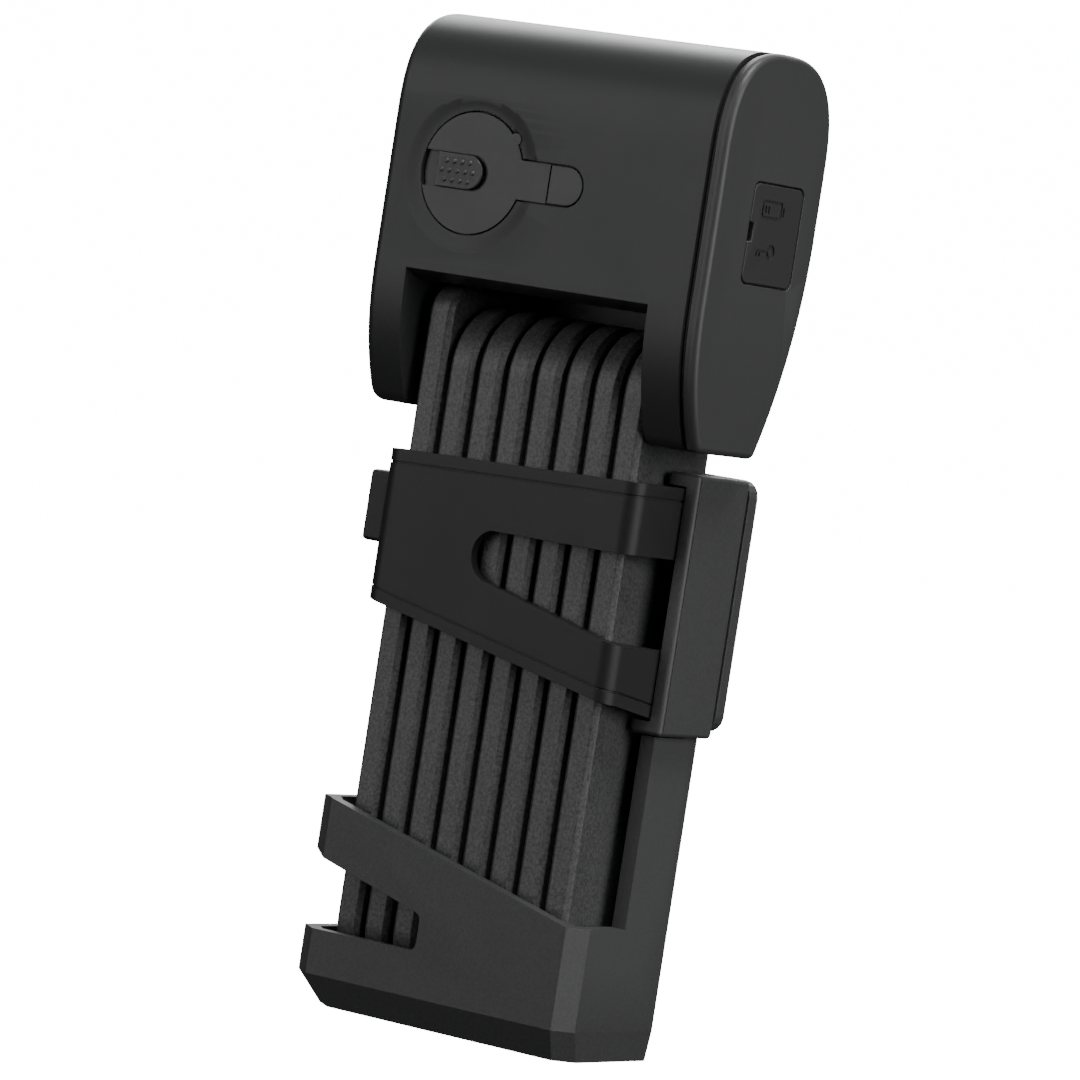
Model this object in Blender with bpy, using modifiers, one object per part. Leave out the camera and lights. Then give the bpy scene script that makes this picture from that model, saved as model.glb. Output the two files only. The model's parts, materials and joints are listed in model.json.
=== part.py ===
"""Folding bike lock in its frame holster.

Eight flat steel bars are riveted end to end and folded into a stack. The first bar
is pinned to an electronic lock head, whose slot also takes the free end of the last
bar. The stack stands in a plastic holster: a cup, a back wall, a side wall with a
clamp block, and a rubber strap that runs from the block round the front of the stack
to a hook at the left rear. The holster's back carries a plate for a frame's bottle
bosses.

Frame: +X runs across the stack to the right, +Y to the back, +Z up. The stack's
middle is near x = 0 and the cup stands on z = 0. Sizes are in metres.
"""

import math

import bmesh
import bpy
from mathutils import Matrix, Vector

MM = 0.001

# Clearances
FIT = 0.3 * MM
SEAL_FIT = 0.25 * MM
THROUGH = 5.0 * MM

# Folded bars
BAR_COUNT = 8
BAR_THICK = 5.3 * MM
BAR_GAP = 1.0 * MM
BAR_PITCH = BAR_THICK + BAR_GAP
BAR_LEFT = -24.2 * MM
STACK_RIGHT = BAR_LEFT + (BAR_COUNT - 1) * BAR_PITCH + BAR_THICK
BAR_RADIUS = 11.9 * MM
BAR_MID_Y = 1.0 * MM
BAR_CHAMFER = 0.9 * MM
PIN_LOW_Z = 16.4 * MM
PIN_HIGH_Z = 117.6 * MM
HEAD_BAR_TOP = PIN_HIGH_Z + 14.8 * MM
HEAD_BAR_CORNER = 5.5 * MM
RIVET_RADIUS = 4.0 * MM
WASHER_RADIUS = 8.0 * MM
WASHER_THICK = 0.5 * MM
END_STEPS = 14

# Holster cup
CUP_LEFT = -30.3 * MM
CUP_RIGHT = STACK_RIGHT + 5.8 * MM
CUP_FRONT = -15.0 * MM
CUP_BACK = 15.3 * MM
CUP_CORNER_X = 4.4 * MM
CUP_CORNER_X_RIGHT = 2.7 * MM
CUP_CORNER_Y = 3.8 * MM
CUP_REAR_CORNER = 1.5 * MM
CUP_FOOT = 5.5 * MM
CUP_FOOT_LEFT = 4.2 * MM
CUP_FOOT_FRONT = 2.3 * MM
CUP_FOOT_RIGHT = 0.3 * MM
CUP_FOOT_BACK = 0.5 * MM
CUP_FLOOR = 4.0 * MM
CUP_WALL = 2.6 * MM
CUP_INNER_RIGHT = STACK_RIGHT + 2.8 * MM
CUP_INNER_BACK = 13.3 * MM
CUP_INNER_CORNER = 2.4 * MM
RIM_LEFT = -26.2 * MM
RIM_RIGHT = STACK_RIGHT + 3.1 * MM
RIM_LEFT_Z = 37.6 * MM
RIM_RIGHT_Z = 23.9 * MM
WINDOW_RIGHT = -2.9 * MM
WINDOW_LOW_Z = 13.7 * MM
WINDOW_HIGH_RIGHT_Z = 20.7 * MM
WINDOW_HIGH_LEFT_Z = 27.8 * MM
WINDOW_BACK_Y = 4.0 * MM
WINDOW_ROUND = 1.5 * MM

# Holster walls
BACK_WALL_LEFT = -24.6 * MM
WALL_TOP = PIN_HIGH_Z - BAR_RADIUS
SIDE_WALL_FRONT = 0.0
SIDE_WALL_TOP = WALL_TOP - 47.1 * MM
ANCHOR_WALL_FRONT = 9.5 * MM
HOOK_LEFT = -30.2 * MM
HOOK_INNER = -27.8 * MM
HOOK_TIP = -25.0 * MM
HOOK_FRONT = 6.6 * MM
HOOK_BACK = 8.6 * MM
HOOK_LOW_Z = WALL_TOP - 19.3 * MM
HOOK_HIGH_Z = WALL_TOP - 10.3 * MM

# Clamp block
BLOCK_LEFT = STACK_RIGHT + 1.1 * MM
BLOCK_RIGHT = STACK_RIGHT + 7.8 * MM
BLOCK_FRONT = -1.8 * MM
BLOCK_BACK = 9.2 * MM
BLOCK_PLATE_LEFT = STACK_RIGHT + 6.1 * MM
BLOCK_LOW_Z = WALL_TOP - 46.8 * MM
BLOCK_MOUTH_RIGHT = STACK_RIGHT + 5.3 * MM
BLOCK_MOUTH_BACK = 8.0 * MM
BLOCK_MOUTH_LOW = WALL_TOP - 44.4 * MM
BLOCK_MOUTH_HIGH = WALL_TOP - 2.4 * MM
BLOCK_BEVEL = 0.8 * MM

# Strap
STRAP_THICK = 2.0 * MM
STRAP_FRONT = -13.5 * MM
STRAP_LEFT = -27.1 * MM
STRAP_RIGHT_FRONT = STACK_RIGHT + 3.2 * MM
STRAP_RIGHT_BACK = STACK_RIGHT + 5.0 * MM
STRAP_TAIL_Y = 12.6 * MM
STRAP_CORNER = 3.4 * MM
STRAP_TOP = WALL_TOP - 2.7 * MM
STRAP_TOP_LEFT = WALL_TOP - 4.1 * MM
STRAP_LOW_LEFT = WALL_TOP - 31.3 * MM
STRAP_LOW_RIGHT = WALL_TOP - 42.3 * MM
STRAP_ROOT_DROP = 1.6 * MM
EYE_X = STACK_RIGHT + 3.1 * MM
EYE_Y = 4.6 * MM
EYE_RADIUS = 2.1 * MM
EYE_PIN_RADIUS = 0.9 * MM
SLIT_LEFT = -4.9 * MM
SLIT_TOP = WALL_TOP - 15.5 * MM
SLIT_LOW_LEFT = WALL_TOP - 24.9 * MM
SLIT_LOW_RIGHT = WALL_TOP - 31.7 * MM
TAB_LEFT = -32.4 * MM
TAB_FRONT = -9.5 * MM
TAB_BACK = -2.0 * MM
TAB_LOW_Z = WALL_TOP - 21.5 * MM
TAB_HIGH_Z = WALL_TOP - 8.5 * MM

# Frame plate and bolts, at the 64 mm pitch of bottle-cage bosses
PLATE_LEFT = -12.0 * MM
PLATE_RIGHT = STACK_RIGHT + 7.8 * MM
PLATE_FRONT = 15.6 * MM
PLATE_BACK = 18.4 * MM
PLATE_LOW_Z = WALL_TOP - 45.7 * MM
PLATE_HIGH_Z = WALL_TOP
PLATE_CORNER = 3.0 * MM
BOLT_X = 0.5 * MM
BOLT_LOW_Z = WALL_TOP - 78.3 * MM
BOLT_PITCH = 64.0 * MM
BOLT_RADIUS = 2.5 * MM
BOLT_HEAD_RADIUS = 4.8 * MM
BOLT_HEAD_DEEP = 1.7 * MM
BOLT_END_Y = 29.0 * MM
SPACER_RADIUS = 7.0 * MM

# Lock head
HEAD_LEFT = -35.0 * MM
HEAD_RIGHT = STACK_RIGHT + 8.5 * MM
HEAD_FRONT = -16.0 * MM
HEAD_BACK = 17.5 * MM
HEAD_LOW_Z = PIN_HIGH_Z - 7.9 * MM
HEAD_TOP_Z = PIN_HIGH_Z + 63.6 * MM
HEAD_FRONT_BEND_Z = PIN_HIGH_Z + 18.8 * MM
HEAD_FRONT_TUCK = 6.0 * MM
HEAD_FRONT_POWER = 2.5
HEAD_BACK_BEND_Z = PIN_HIGH_Z + 33.8 * MM
HEAD_BACK_TUCK = 9.4 * MM
HEAD_BACK_POWER = 2.1
HEAD_CROWN_Z = PIN_HIGH_Z + 43.8 * MM
HEAD_CROWN_POWER = 2.7
HEAD_SIDE_STEPS = 6
HEAD_CROWN_STEPS = 22
HEAD_END_ROUND = 2.4 * MM
HEAD_WALL = 2.4 * MM
HEAD_FRONT_WALL = 3.6 * MM
CHAMBER_LOW_Z = PIN_HIGH_Z + 20.8 * MM
SLOT_LEFT = -26.8 * MM
SLOT_RIGHT = STACK_RIGHT + 0.7 * MM
SLOT_TOP_Z = PIN_HIGH_Z + 14.9 * MM
SLOT_BACK = 13.6 * MM
BACK_LIP_Z = PIN_HIGH_Z + 9.4 * MM
WAY_BACK = 14.0 * MM
WAY_TOP_Z = PIN_HIGH_Z + 10.9 * MM
SLOT_LIP_Z = PIN_HIGH_Z + 16.6 * MM
SLOT_LIP_DEEP = 3.6 * MM
PIVOT_ROOM_RIGHT = -18.4 * MM
PIVOT_ROOM_HALF = 9.4 * MM
PIVOT_ROOM_TOP = PIN_HIGH_Z + 18.4 * MM
LEG_ROOM_LEFT = STACK_RIGHT + 3.0 * MM
LEG_ROOM_HALF = 6.0 * MM
LEG_ROOM_LOW_Z = PIN_HIGH_Z - 4.7 * MM
HEAD_PIN_LEFT = -33.0 * MM
LOCK_BOLT_RADIUS = 3.0 * MM
LOCK_BOLT_TIP = STACK_RIGHT + 1.1 * MM
LOCK_BOLT_END = STACK_RIGHT + 7.4 * MM
LOCK_BOLT_FLANGE = 4.4 * MM

# End cap and its port flap
CAP_LEFT = STACK_RIGHT + 9.4 * MM
CAP_RIGHT = STACK_RIGHT + 12.1 * MM
CAP_BEVEL = 1.1 * MM
SEAL_INSET = 0.7 * MM
SEAL_BAND = 2.6 * MM
FLAP_FRONT = -5.0 * MM
FLAP_BACK = 11.0 * MM
FLAP_LOW_Z = PIN_HIGH_Z + 22.9 * MM
FLAP_HIGH_Z = PIN_HIGH_Z + 40.6 * MM
FLAP_THICK = 1.2 * MM
FLAP_CORNER = 1.6 * MM
FLAP_NOTCH_LOW = PIN_HIGH_Z + 30.2 * MM
FLAP_NOTCH_HIGH = PIN_HIGH_Z + 33.6 * MM
FLAP_NOTCH_DEEP = 1.3 * MM
PORT_Y = 3.0 * MM
USB_Z = PIN_HIGH_Z + 37.0 * MM
USB_WIDE = 8.9 * MM
USB_TALL = 3.2 * MM
USB_SKIN = 0.35 * MM
USB_LEFT = STACK_RIGHT + 3.3 * MM
USB_DEEP = 6.0 * MM
KEY_Z = PIN_HIGH_Z + 28.4 * MM
KEY_RADIUS = 4.2 * MM
KEY_LEFT = STACK_RIGHT + 1.3 * MM
PLUG_RADIUS = 2.6 * MM
KEYWAY_WIDE = 1.0 * MM
KEYWAY_TALL = 3.6 * MM
KEYWAY_DEEP = 5.5 * MM

# Front cover
COVER_X = -15.9 * MM
COVER_Z = PIN_HIGH_Z + 34.9 * MM
COVER_RADIUS = 10.9 * MM
COVER_FRONT = -15.7 * MM
COVER_BACK = -14.2 * MM
DISH_RADIUS = 14.6 * MM
DISH_FLOOR_RADIUS = 13.5 * MM
DISH_DEEP = 0.45 * MM
POCKET_BACK = -13.9 * MM
ARM_HALF = 3.5 * MM
ARM_HINGE_X = 1.0 * MM
NUB_TURN = 40.0
NUB_RADIUS = 1.3 * MM
TETHER_RIGHT = 8.4 * MM
TETHER_FRONT = -15.9 * MM
SLIDER_LEFT = -23.6 * MM
SLIDER_RIGHT = -13.7 * MM
SLIDER_HALF = 3.1 * MM
SLIDER_FRONT = -15.8 * MM
SLIDER_BACK = -15.0 * MM
SLIDER_TRACK_LEFT = -27.0 * MM
SLIDER_TRACK_RIGHT = -12.5 * MM
SENSOR_RADIUS = 7.0 * MM
SENSOR_BACK = -11.6 * MM

# Electronics in the head's chamber
BOARD_SIZE = (46.0 * MM, 1.2 * MM, 30.0 * MM)
BOARD_AT = (-5.0 * MM, -8.5 * MM, PIN_HIGH_Z + 40.8 * MM)
CELL_SIZE = (46.0 * MM, 9.0 * MM, 22.0 * MM)
CELL_AT = (-5.0 * MM, 1.0 * MM, PIN_HIGH_Z + 43.8 * MM)
MOTOR_RADIUS = 4.0 * MM
MOTOR_SPAN = (-6.0 * MM, 16.0 * MM)
MOTOR_Z = PIN_HIGH_Z + 26.8 * MM

COLOURS = {
    "shell": (0.045, 0.046, 0.048, 1.0, 0.5, 0.0),
    "holster": (0.035, 0.036, 0.038, 1.0, 0.62, 0.0),
    "rubber": (0.02, 0.02, 0.021, 1.0, 0.78, 0.0),
    "bar": (0.05, 0.051, 0.053, 1.0, 0.55, 0.2),
    "steel": (0.55, 0.56, 0.57, 1.0, 0.3, 1.0),
    "dark_steel": (0.12, 0.12, 0.13, 1.0, 0.4, 1.0),
    "nylon": (0.08, 0.08, 0.08, 1.0, 0.6, 0.0),
    "board": (0.02, 0.09, 0.04, 1.0, 0.5, 0.0),
    "cell": (0.1, 0.16, 0.3, 1.0, 0.45, 0.0),
    "glass": (0.015, 0.015, 0.02, 1.0, 0.15, 0.0),
}

for leftover in list(bpy.data.objects):
    bpy.data.objects.remove(leftover)

PARTS = bpy.data.collections.new("folding_lock_in_holster")
CUTTERS = bpy.data.collections.new("cutters")
bpy.context.scene.collection.children.link(PARTS)
bpy.context.scene.collection.children.link(CUTTERS)


def material(name, kind):
    """A Principled material for one sub-part."""
    red, green, blue, alpha, rough, metal = COLOURS[kind]
    made = bpy.data.materials.new(name)
    made.use_nodes = True
    shader = made.node_tree.nodes["Principled BSDF"]
    shader.inputs["Base Color"].default_value = (red, green, blue, alpha)
    shader.inputs["Roughness"].default_value = rough
    shader.inputs["Metallic"].default_value = metal
    made.diffuse_color = (red, green, blue, alpha)
    return made


def from_bmesh(bm, name):
    """An object of the shape in bm, with its faces outward, kept with the cutters."""
    bmesh.ops.recalc_face_normals(bm, faces=bm.faces)
    mesh = bpy.data.meshes.new(name)
    bm.to_mesh(mesh)
    bm.free()
    made = bpy.data.objects.new(name, mesh)
    CUTTERS.objects.link(made)
    made.hide_render = True
    made.display_type = "WIRE"
    return made


def block(name, low, high):
    """A box from corner low to corner high."""
    bm = bmesh.new()
    bmesh.ops.create_cube(bm, size=1.0)
    low, high = Vector(low), Vector(high)
    size = high - low
    bmesh.ops.scale(bm, vec=size, verts=bm.verts)
    bmesh.ops.translate(bm, vec=(low + high) / 2, verts=bm.verts)
    return from_bmesh(bm, name)


TURNS = {
    "X": Matrix.Rotation(math.pi / 2, 4, "Y"),
    "Y": Matrix.Rotation(-math.pi / 2, 4, "X"),
    "Z": Matrix.Identity(4),
}


def round_bar(name, axis, at, low, high, radius, top_radius=None, steps=32):
    """A cylinder or cone along an axis, from low to high, about the point at."""
    bm = bmesh.new()
    top = radius if top_radius is None else top_radius
    bmesh.ops.create_cone(
        bm,
        cap_ends=True,
        segments=steps,
        radius1=radius,
        radius2=top,
        depth=high - low,
        matrix=TURNS[axis],
    )
    centre = Vector(at)
    centre["XYZ".index(axis)] = (low + high) / 2
    bmesh.ops.translate(bm, vec=centre, verts=bm.verts)
    return from_bmesh(bm, name)


def placed(axis, along, across, up):
    """The point of an outline: across and up are the two other axes, in order."""
    if axis == "X":
        return (along, across, up)
    if axis == "Y":
        return (across, along, up)
    return (across, up, along)


def prism(name, axis, outline, low, high):
    """An outline extruded along an axis from low to high."""
    bm = bmesh.new()
    ring = [bm.verts.new(placed(axis, low, across, up)) for across, up in outline]
    face = bm.faces.new(ring)
    grown = bmesh.ops.extrude_face_region(bm, geom=[face])
    moved = [v for v in grown["geom"] if isinstance(v, bmesh.types.BMVert)]
    bmesh.ops.translate(bm, vec=placed(axis, high - low, 0, 0), verts=moved)
    return from_bmesh(bm, name)


def arc(centre_x, centre_y, radius, start, end, steps):
    """Points of an arc, angles in degrees."""
    points = []
    for i in range(steps + 1):
        angle = math.radians(start + (end - start) * i / steps)
        points.append((centre_x + radius * math.cos(angle), centre_y + radius * math.sin(angle)))
    return points


def rounded_box(left, right, low, high, radius, steps=4):
    """Outline of a rectangle with round corners."""
    return (
        arc(right - radius, low + radius, radius, -90, 0, steps)
        + arc(right - radius, high - radius, radius, 0, 90, steps)
        + arc(left + radius, high - radius, radius, 90, 180, steps)
        + arc(left + radius, low + radius, radius, 180, 270, steps)
    )


def apply_modifiers(target):
    """Replace an object's mesh by what its modifiers make of it."""
    graph = bpy.context.evaluated_depsgraph_get()
    mesh = bpy.data.meshes.new_from_object(target.evaluated_get(graph))
    target.modifiers.clear()
    target.data = mesh


def combine(target, others, operation):
    """Cut others from target, or add them to it."""
    for other in others:
        step = target.modifiers.new(operation.lower(), "BOOLEAN")
        step.operation = operation
        step.solver = "EXACT"
        step.object = other
        apply_modifiers(target)


def cut(target, *others):
    combine(target, others, "DIFFERENCE")


def add(target, *others):
    combine(target, others, "UNION")


def bevel(target, width, segments=1, angle=40):
    """Bevel the edges sharper than angle."""
    step = target.modifiers.new("bevel", "BEVEL")
    step.width = width
    step.segments = segments
    step.limit_method = "ANGLE"
    step.angle_limit = math.radians(angle)
    apply_modifiers(target)


def finish(target, name, kind, pivot=(0.0, 0.0, 0.0), smooth_angle=30):
    """Name a sub-part, give it its material, and put its origin on its joint axis."""
    target.name = name
    target.data.name = name
    bm = bmesh.new()
    bm.from_mesh(target.data)
    bmesh.ops.remove_doubles(bm, verts=bm.verts, dist=0.00001)
    bmesh.ops.dissolve_limit(bm, angle_limit=math.radians(0.2), verts=bm.verts, edges=bm.edges)
    bmesh.ops.translate(bm, vec=-Vector(pivot), verts=bm.verts)
    bm.to_mesh(target.data)
    bm.free()
    target.location = pivot
    target.data.materials.clear()
    target.data.materials.append(material(name, kind))
    target.data.shade_smooth()
    target.data.set_sharp_from_angle(angle=math.radians(smooth_angle))
    CUTTERS.objects.unlink(target)
    PARTS.objects.link(target)
    target.hide_render = False
    target.display_type = "TEXTURED"
    return target


def bar_left(index):
    """The left face of a bar, counted from 1."""
    return BAR_LEFT + (index - 1) * BAR_PITCH


def bar_outline(square_top):
    """A bar's outline in Y and Z: round ends, or a squarer top for the head bar."""
    low = arc(BAR_MID_Y, PIN_LOW_Z, BAR_RADIUS, 180, 360, END_STEPS)
    if not square_top:
        return low + arc(BAR_MID_Y, PIN_HIGH_Z, BAR_RADIUS, 0, 180, END_STEPS)
    side = BAR_RADIUS - HEAD_BAR_CORNER
    top = HEAD_BAR_TOP - HEAD_BAR_CORNER
    right = arc(BAR_MID_Y + side, top, HEAD_BAR_CORNER, 0, 90, 5)
    left = arc(BAR_MID_Y - side, top, HEAD_BAR_CORNER, 90, 180, 5)
    return low + right + left


def make_bar(index):
    """One bar, with a hole at each end."""
    left = bar_left(index)
    bar = prism("bar", "X", bar_outline(index == 1), left, left + BAR_THICK)
    bevel(bar, BAR_CHAMFER)
    for height in (PIN_LOW_Z, PIN_HIGH_Z):
        hole = round_bar(
            "bar_hole",
            "X",
            (0, BAR_MID_Y, height),
            left - THROUGH,
            left + BAR_THICK + THROUGH,
            RIVET_RADIUS + FIT,
            steps=20,
        )
        cut(bar, hole)
    pivot_z = PIN_HIGH_Z if index % 2 == 1 and index > 1 else PIN_LOW_Z
    finish(bar, f"link_{index}", "bar", (left, BAR_MID_Y, pivot_z))


def make_rivet(index):
    """The rivet and washer between a bar and the next one."""
    height = PIN_LOW_Z if index % 2 == 1 else PIN_HIGH_Z
    left = bar_left(index)
    right = bar_left(index + 1) + BAR_THICK
    at = (0, BAR_MID_Y, height)
    rivet = round_bar("rivet", "X", at, left, right, RIVET_RADIUS, steps=20)
    finish(rivet, f"rivet_{index}", "steel", (left, BAR_MID_Y, height))
    middle = (left + right) / 2
    half = WASHER_THICK / 2
    washer = round_bar("washer", "X", at, middle - half, middle + half, WASHER_RADIUS, steps=20)
    hole = round_bar(
        "washer_hole", "X", at, middle - THROUGH, middle + THROUGH, RIVET_RADIUS + FIT, steps=20
    )
    cut(washer, hole)
    finish(washer, f"washer_{index}", "nylon", (middle, BAR_MID_Y, height))


def cup_outline(left, right, front, back, corner_left, corner_right, corner_y, rear):
    """The cup's plan: a rectangle with cut corners."""
    return [
        (left + corner_left, front),
        (right - corner_right, front),
        (right, front + corner_y),
        (right, back - rear),
        (right - rear, back),
        (left + rear, back),
        (left, back - rear),
        (left, front + corner_y),
    ]


def loft(name, rings):
    """A solid through closed rings of equal length, capped at both ends."""
    bm = bmesh.new()
    rows = [[bm.verts.new(point) for point in ring] for ring in rings]
    count = len(rows[0])
    for lower, upper in zip(rows, rows[1:]):
        for i in range(count):
            bm.faces.new((lower[i - 1], lower[i], upper[i], upper[i - 1]))
    bm.faces.new(rows[0])
    bm.faces.new(rows[-1])
    return from_bmesh(bm, name)


def make_cup():
    """The holster's outside with a narrowed foot, hollowed but still at full height."""
    rings = []
    for z, inset in ((0.0, 1.0), (CUP_FOOT, 0.0), (WALL_TOP, 0.0)):
        outline = cup_outline(
            CUP_LEFT + inset * CUP_FOOT_LEFT,
            CUP_RIGHT - inset * CUP_FOOT_RIGHT,
            CUP_FRONT + inset * CUP_FOOT_FRONT,
            CUP_BACK - inset * CUP_FOOT_BACK,
            CUP_CORNER_X,
            CUP_CORNER_X_RIGHT,
            CUP_CORNER_Y,
            CUP_REAR_CORNER,
        )
        rings.append([(x, y, z) for x, y in outline])
    cup = loft("cup", rings)
    inner = cup_outline(
        CUP_LEFT + CUP_WALL,
        CUP_INNER_RIGHT,
        CUP_FRONT + CUP_WALL,
        CUP_INNER_BACK,
        CUP_INNER_CORNER,
        CUP_INNER_CORNER,
        CUP_INNER_CORNER,
        CUP_REAR_CORNER,
    )
    well = prism("well", "Z", inner, CUP_FLOOR, WALL_TOP + THROUGH)
    cut(cup, well)
    return cup


def wall_cutters():
    """What leaves the cup's sloping rim, the low side wall and the anchor wall."""
    far = WALL_TOP + THROUGH
    over = [
        (CUP_LEFT - THROUGH, RIM_LEFT_Z),
        (RIM_LEFT, RIM_LEFT_Z),
        (RIM_RIGHT, RIM_RIGHT_Z),
        (CUP_RIGHT + THROUGH, RIM_RIGHT_Z),
        (CUP_RIGHT + THROUGH, far),
        (CUP_LEFT - THROUGH, far),
    ]
    rim = prism("rim_slope", "Y", over, CUP_FRONT - THROUGH, SIDE_WALL_FRONT)
    left = block(
        "left_side",
        (CUP_LEFT - THROUGH, CUP_FRONT - THROUGH, RIM_LEFT_Z),
        (BACK_WALL_LEFT, CUP_BACK + THROUGH, far),
    )
    right = block(
        "right_side",
        (0.0, CUP_FRONT - THROUGH, SIDE_WALL_TOP),
        (CUP_RIGHT + THROUGH, ANCHOR_WALL_FRONT, far),
    )
    return rim, left, right


def window_outline():
    """The window of the cup, open past its left side."""
    left = CUP_LEFT - THROUGH
    rise = (WINDOW_HIGH_LEFT_Z - WINDOW_HIGH_RIGHT_Z) / (WINDOW_RIGHT - CUP_LEFT)
    high_left = WINDOW_HIGH_RIGHT_Z + rise * (WINDOW_RIGHT - left)
    right = WINDOW_RIGHT - WINDOW_ROUND
    return (
        [(left, WINDOW_LOW_Z)]
        + arc(right, WINDOW_LOW_Z + WINDOW_ROUND, WINDOW_ROUND, -90, 0, 3)
        + arc(right, WINDOW_HIGH_RIGHT_Z - WINDOW_ROUND, WINDOW_ROUND, 0, 75, 3)
        + [(left, high_left)]
    )


def countersunk_hole(z):
    """Cutters for a countersunk screw through the holster's back."""
    shank = round_bar(
        "bolt_hole",
        "Y",
        (BOLT_X, 0, z),
        CUP_INNER_BACK - FIT,
        PLATE_BACK + THROUGH,
        BOLT_RADIUS + FIT,
        steps=24,
    )
    sink = round_bar(
        "bolt_sink",
        "Y",
        (BOLT_X, 0, z),
        CUP_INNER_BACK - FIT,
        CUP_INNER_BACK + BOLT_HEAD_DEEP,
        BOLT_HEAD_RADIUS + 2 * FIT,
        BOLT_RADIUS + FIT,
        steps=24,
    )
    return shank, sink


def make_holster():
    """Cup, back wall, side wall and strap hook in one moulding."""
    body = make_cup()
    cut(body, *wall_cutters())
    rear = CUP_BACK - FIT
    inner = CUP_INNER_BACK + FIT
    hook = prism(
        "hook",
        "Z",
        [
            (BACK_WALL_LEFT + THROUGH, rear),
            (HOOK_LEFT, rear),
            (HOOK_LEFT, HOOK_FRONT),
            (HOOK_TIP, HOOK_FRONT),
            (HOOK_TIP, HOOK_BACK),
            (HOOK_INNER, HOOK_BACK),
            (HOOK_INNER, inner),
            (BACK_WALL_LEFT + THROUGH, inner),
        ],
        HOOK_LOW_Z,
        HOOK_HIGH_Z,
    )
    add(body, hook)
    window = prism("window", "Y", window_outline(), CUP_FRONT - THROUGH, WINDOW_BACK_Y)
    cut(body, window)
    for height in (BOLT_LOW_Z, BOLT_LOW_Z + BOLT_PITCH):
        cut(body, *countersunk_hole(height))
    finish(body, "holder_base", "holster")


def make_block():
    """The clamp block, a housing open to the front and left for the strap's root."""
    body = block(
        "clamp",
        (BLOCK_LEFT, BLOCK_FRONT, BLOCK_LOW_Z),
        (BLOCK_RIGHT, BLOCK_BACK, WALL_TOP),
    )
    plate = block(
        "clamp_side",
        (BLOCK_PLATE_LEFT, BLOCK_FRONT + THROUGH, BLOCK_LOW_Z),
        (BLOCK_RIGHT, CUP_BACK, WALL_TOP),
    )
    bevel(body, BLOCK_BEVEL)
    bevel(plate, BLOCK_BEVEL)
    add(body, plate)
    mouth = block(
        "mouth",
        (BLOCK_LEFT - THROUGH, BLOCK_FRONT - THROUGH, BLOCK_MOUTH_LOW),
        (BLOCK_MOUTH_RIGHT, BLOCK_MOUTH_BACK, BLOCK_MOUTH_HIGH),
    )
    pin_hole = round_bar(
        "pin_hole",
        "Z",
        (EYE_X, EYE_Y, 0),
        BLOCK_LOW_Z + FIT,
        WALL_TOP + THROUGH,
        EYE_PIN_RADIUS + FIT,
        steps=16,
    )
    cut(body, mouth, pin_hole)
    finish(body, "clamp_block", "holster")


def strap_path():
    """The strap's outer line in plan, from its eye to its tail."""
    lean = math.degrees(
        math.atan2(STRAP_RIGHT_BACK - STRAP_RIGHT_FRONT, BLOCK_FRONT - STRAP_FRONT)
    )
    corner = STRAP_CORNER
    return (
        [(STRAP_RIGHT_BACK, EYE_Y), (STRAP_RIGHT_BACK, BLOCK_FRONT)]
        + arc(STRAP_RIGHT_FRONT - corner, STRAP_FRONT + corner, corner, -lean, -90, 5)
        + arc(STRAP_LEFT + corner, STRAP_FRONT + corner, corner, 270, 180, 5)
        + [(STRAP_LEFT, STRAP_TAIL_Y)]
    )


def inward(path, distance):
    """A path moved to its right-hand side by a distance."""
    moved = []
    for i, (x, y) in enumerate(path):
        before = path[max(i - 1, 0)]
        after = path[min(i + 1, len(path) - 1)]
        run = Vector((after[0] - before[0], after[1] - before[1])).normalized()
        moved.append((x + run.y * distance, y - run.x * distance))
    return moved


def strap_cutters():
    """What shapes the strap's edges and its slit."""
    out = THROUGH
    left = TAB_LEFT - out
    right = BLOCK_RIGHT + out
    front = STRAP_FRONT - out
    back = STRAP_TAIL_Y + out
    under = [
        (left, STRAP_LOW_RIGHT - 2 * out),
        (right, STRAP_LOW_RIGHT - 2 * out),
        (right, STRAP_LOW_RIGHT - STRAP_ROOT_DROP),
        (STRAP_RIGHT_BACK, STRAP_LOW_RIGHT - STRAP_ROOT_DROP),
        (STRAP_RIGHT_FRONT, STRAP_LOW_RIGHT),
        (STRAP_LEFT, STRAP_LOW_LEFT),
        (left, STRAP_LOW_LEFT),
    ]
    over = [
        (left, STRAP_TOP + out),
        (left, STRAP_TOP_LEFT),
        (STRAP_LEFT, STRAP_TOP_LEFT),
        (STRAP_RIGHT_FRONT, STRAP_TOP),
        (right, STRAP_TOP),
        (right, STRAP_TOP + out),
    ]
    nose = (SLIT_TOP - SLIT_LOW_LEFT) / 2
    slit = (
        arc(SLIT_LEFT + nose, SLIT_TOP - nose, nose, 105, 255, 8)
        + [(STRAP_RIGHT_FRONT, SLIT_LOW_RIGHT), (right, SLIT_LOW_RIGHT), (right, SLIT_TOP)]
    )
    return (
        prism("strap_under", "Y", under, front, back),
        prism("strap_over", "Y", over, front, back),
        prism("strap_slit", "Y", slit, front, back),
    )


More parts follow.
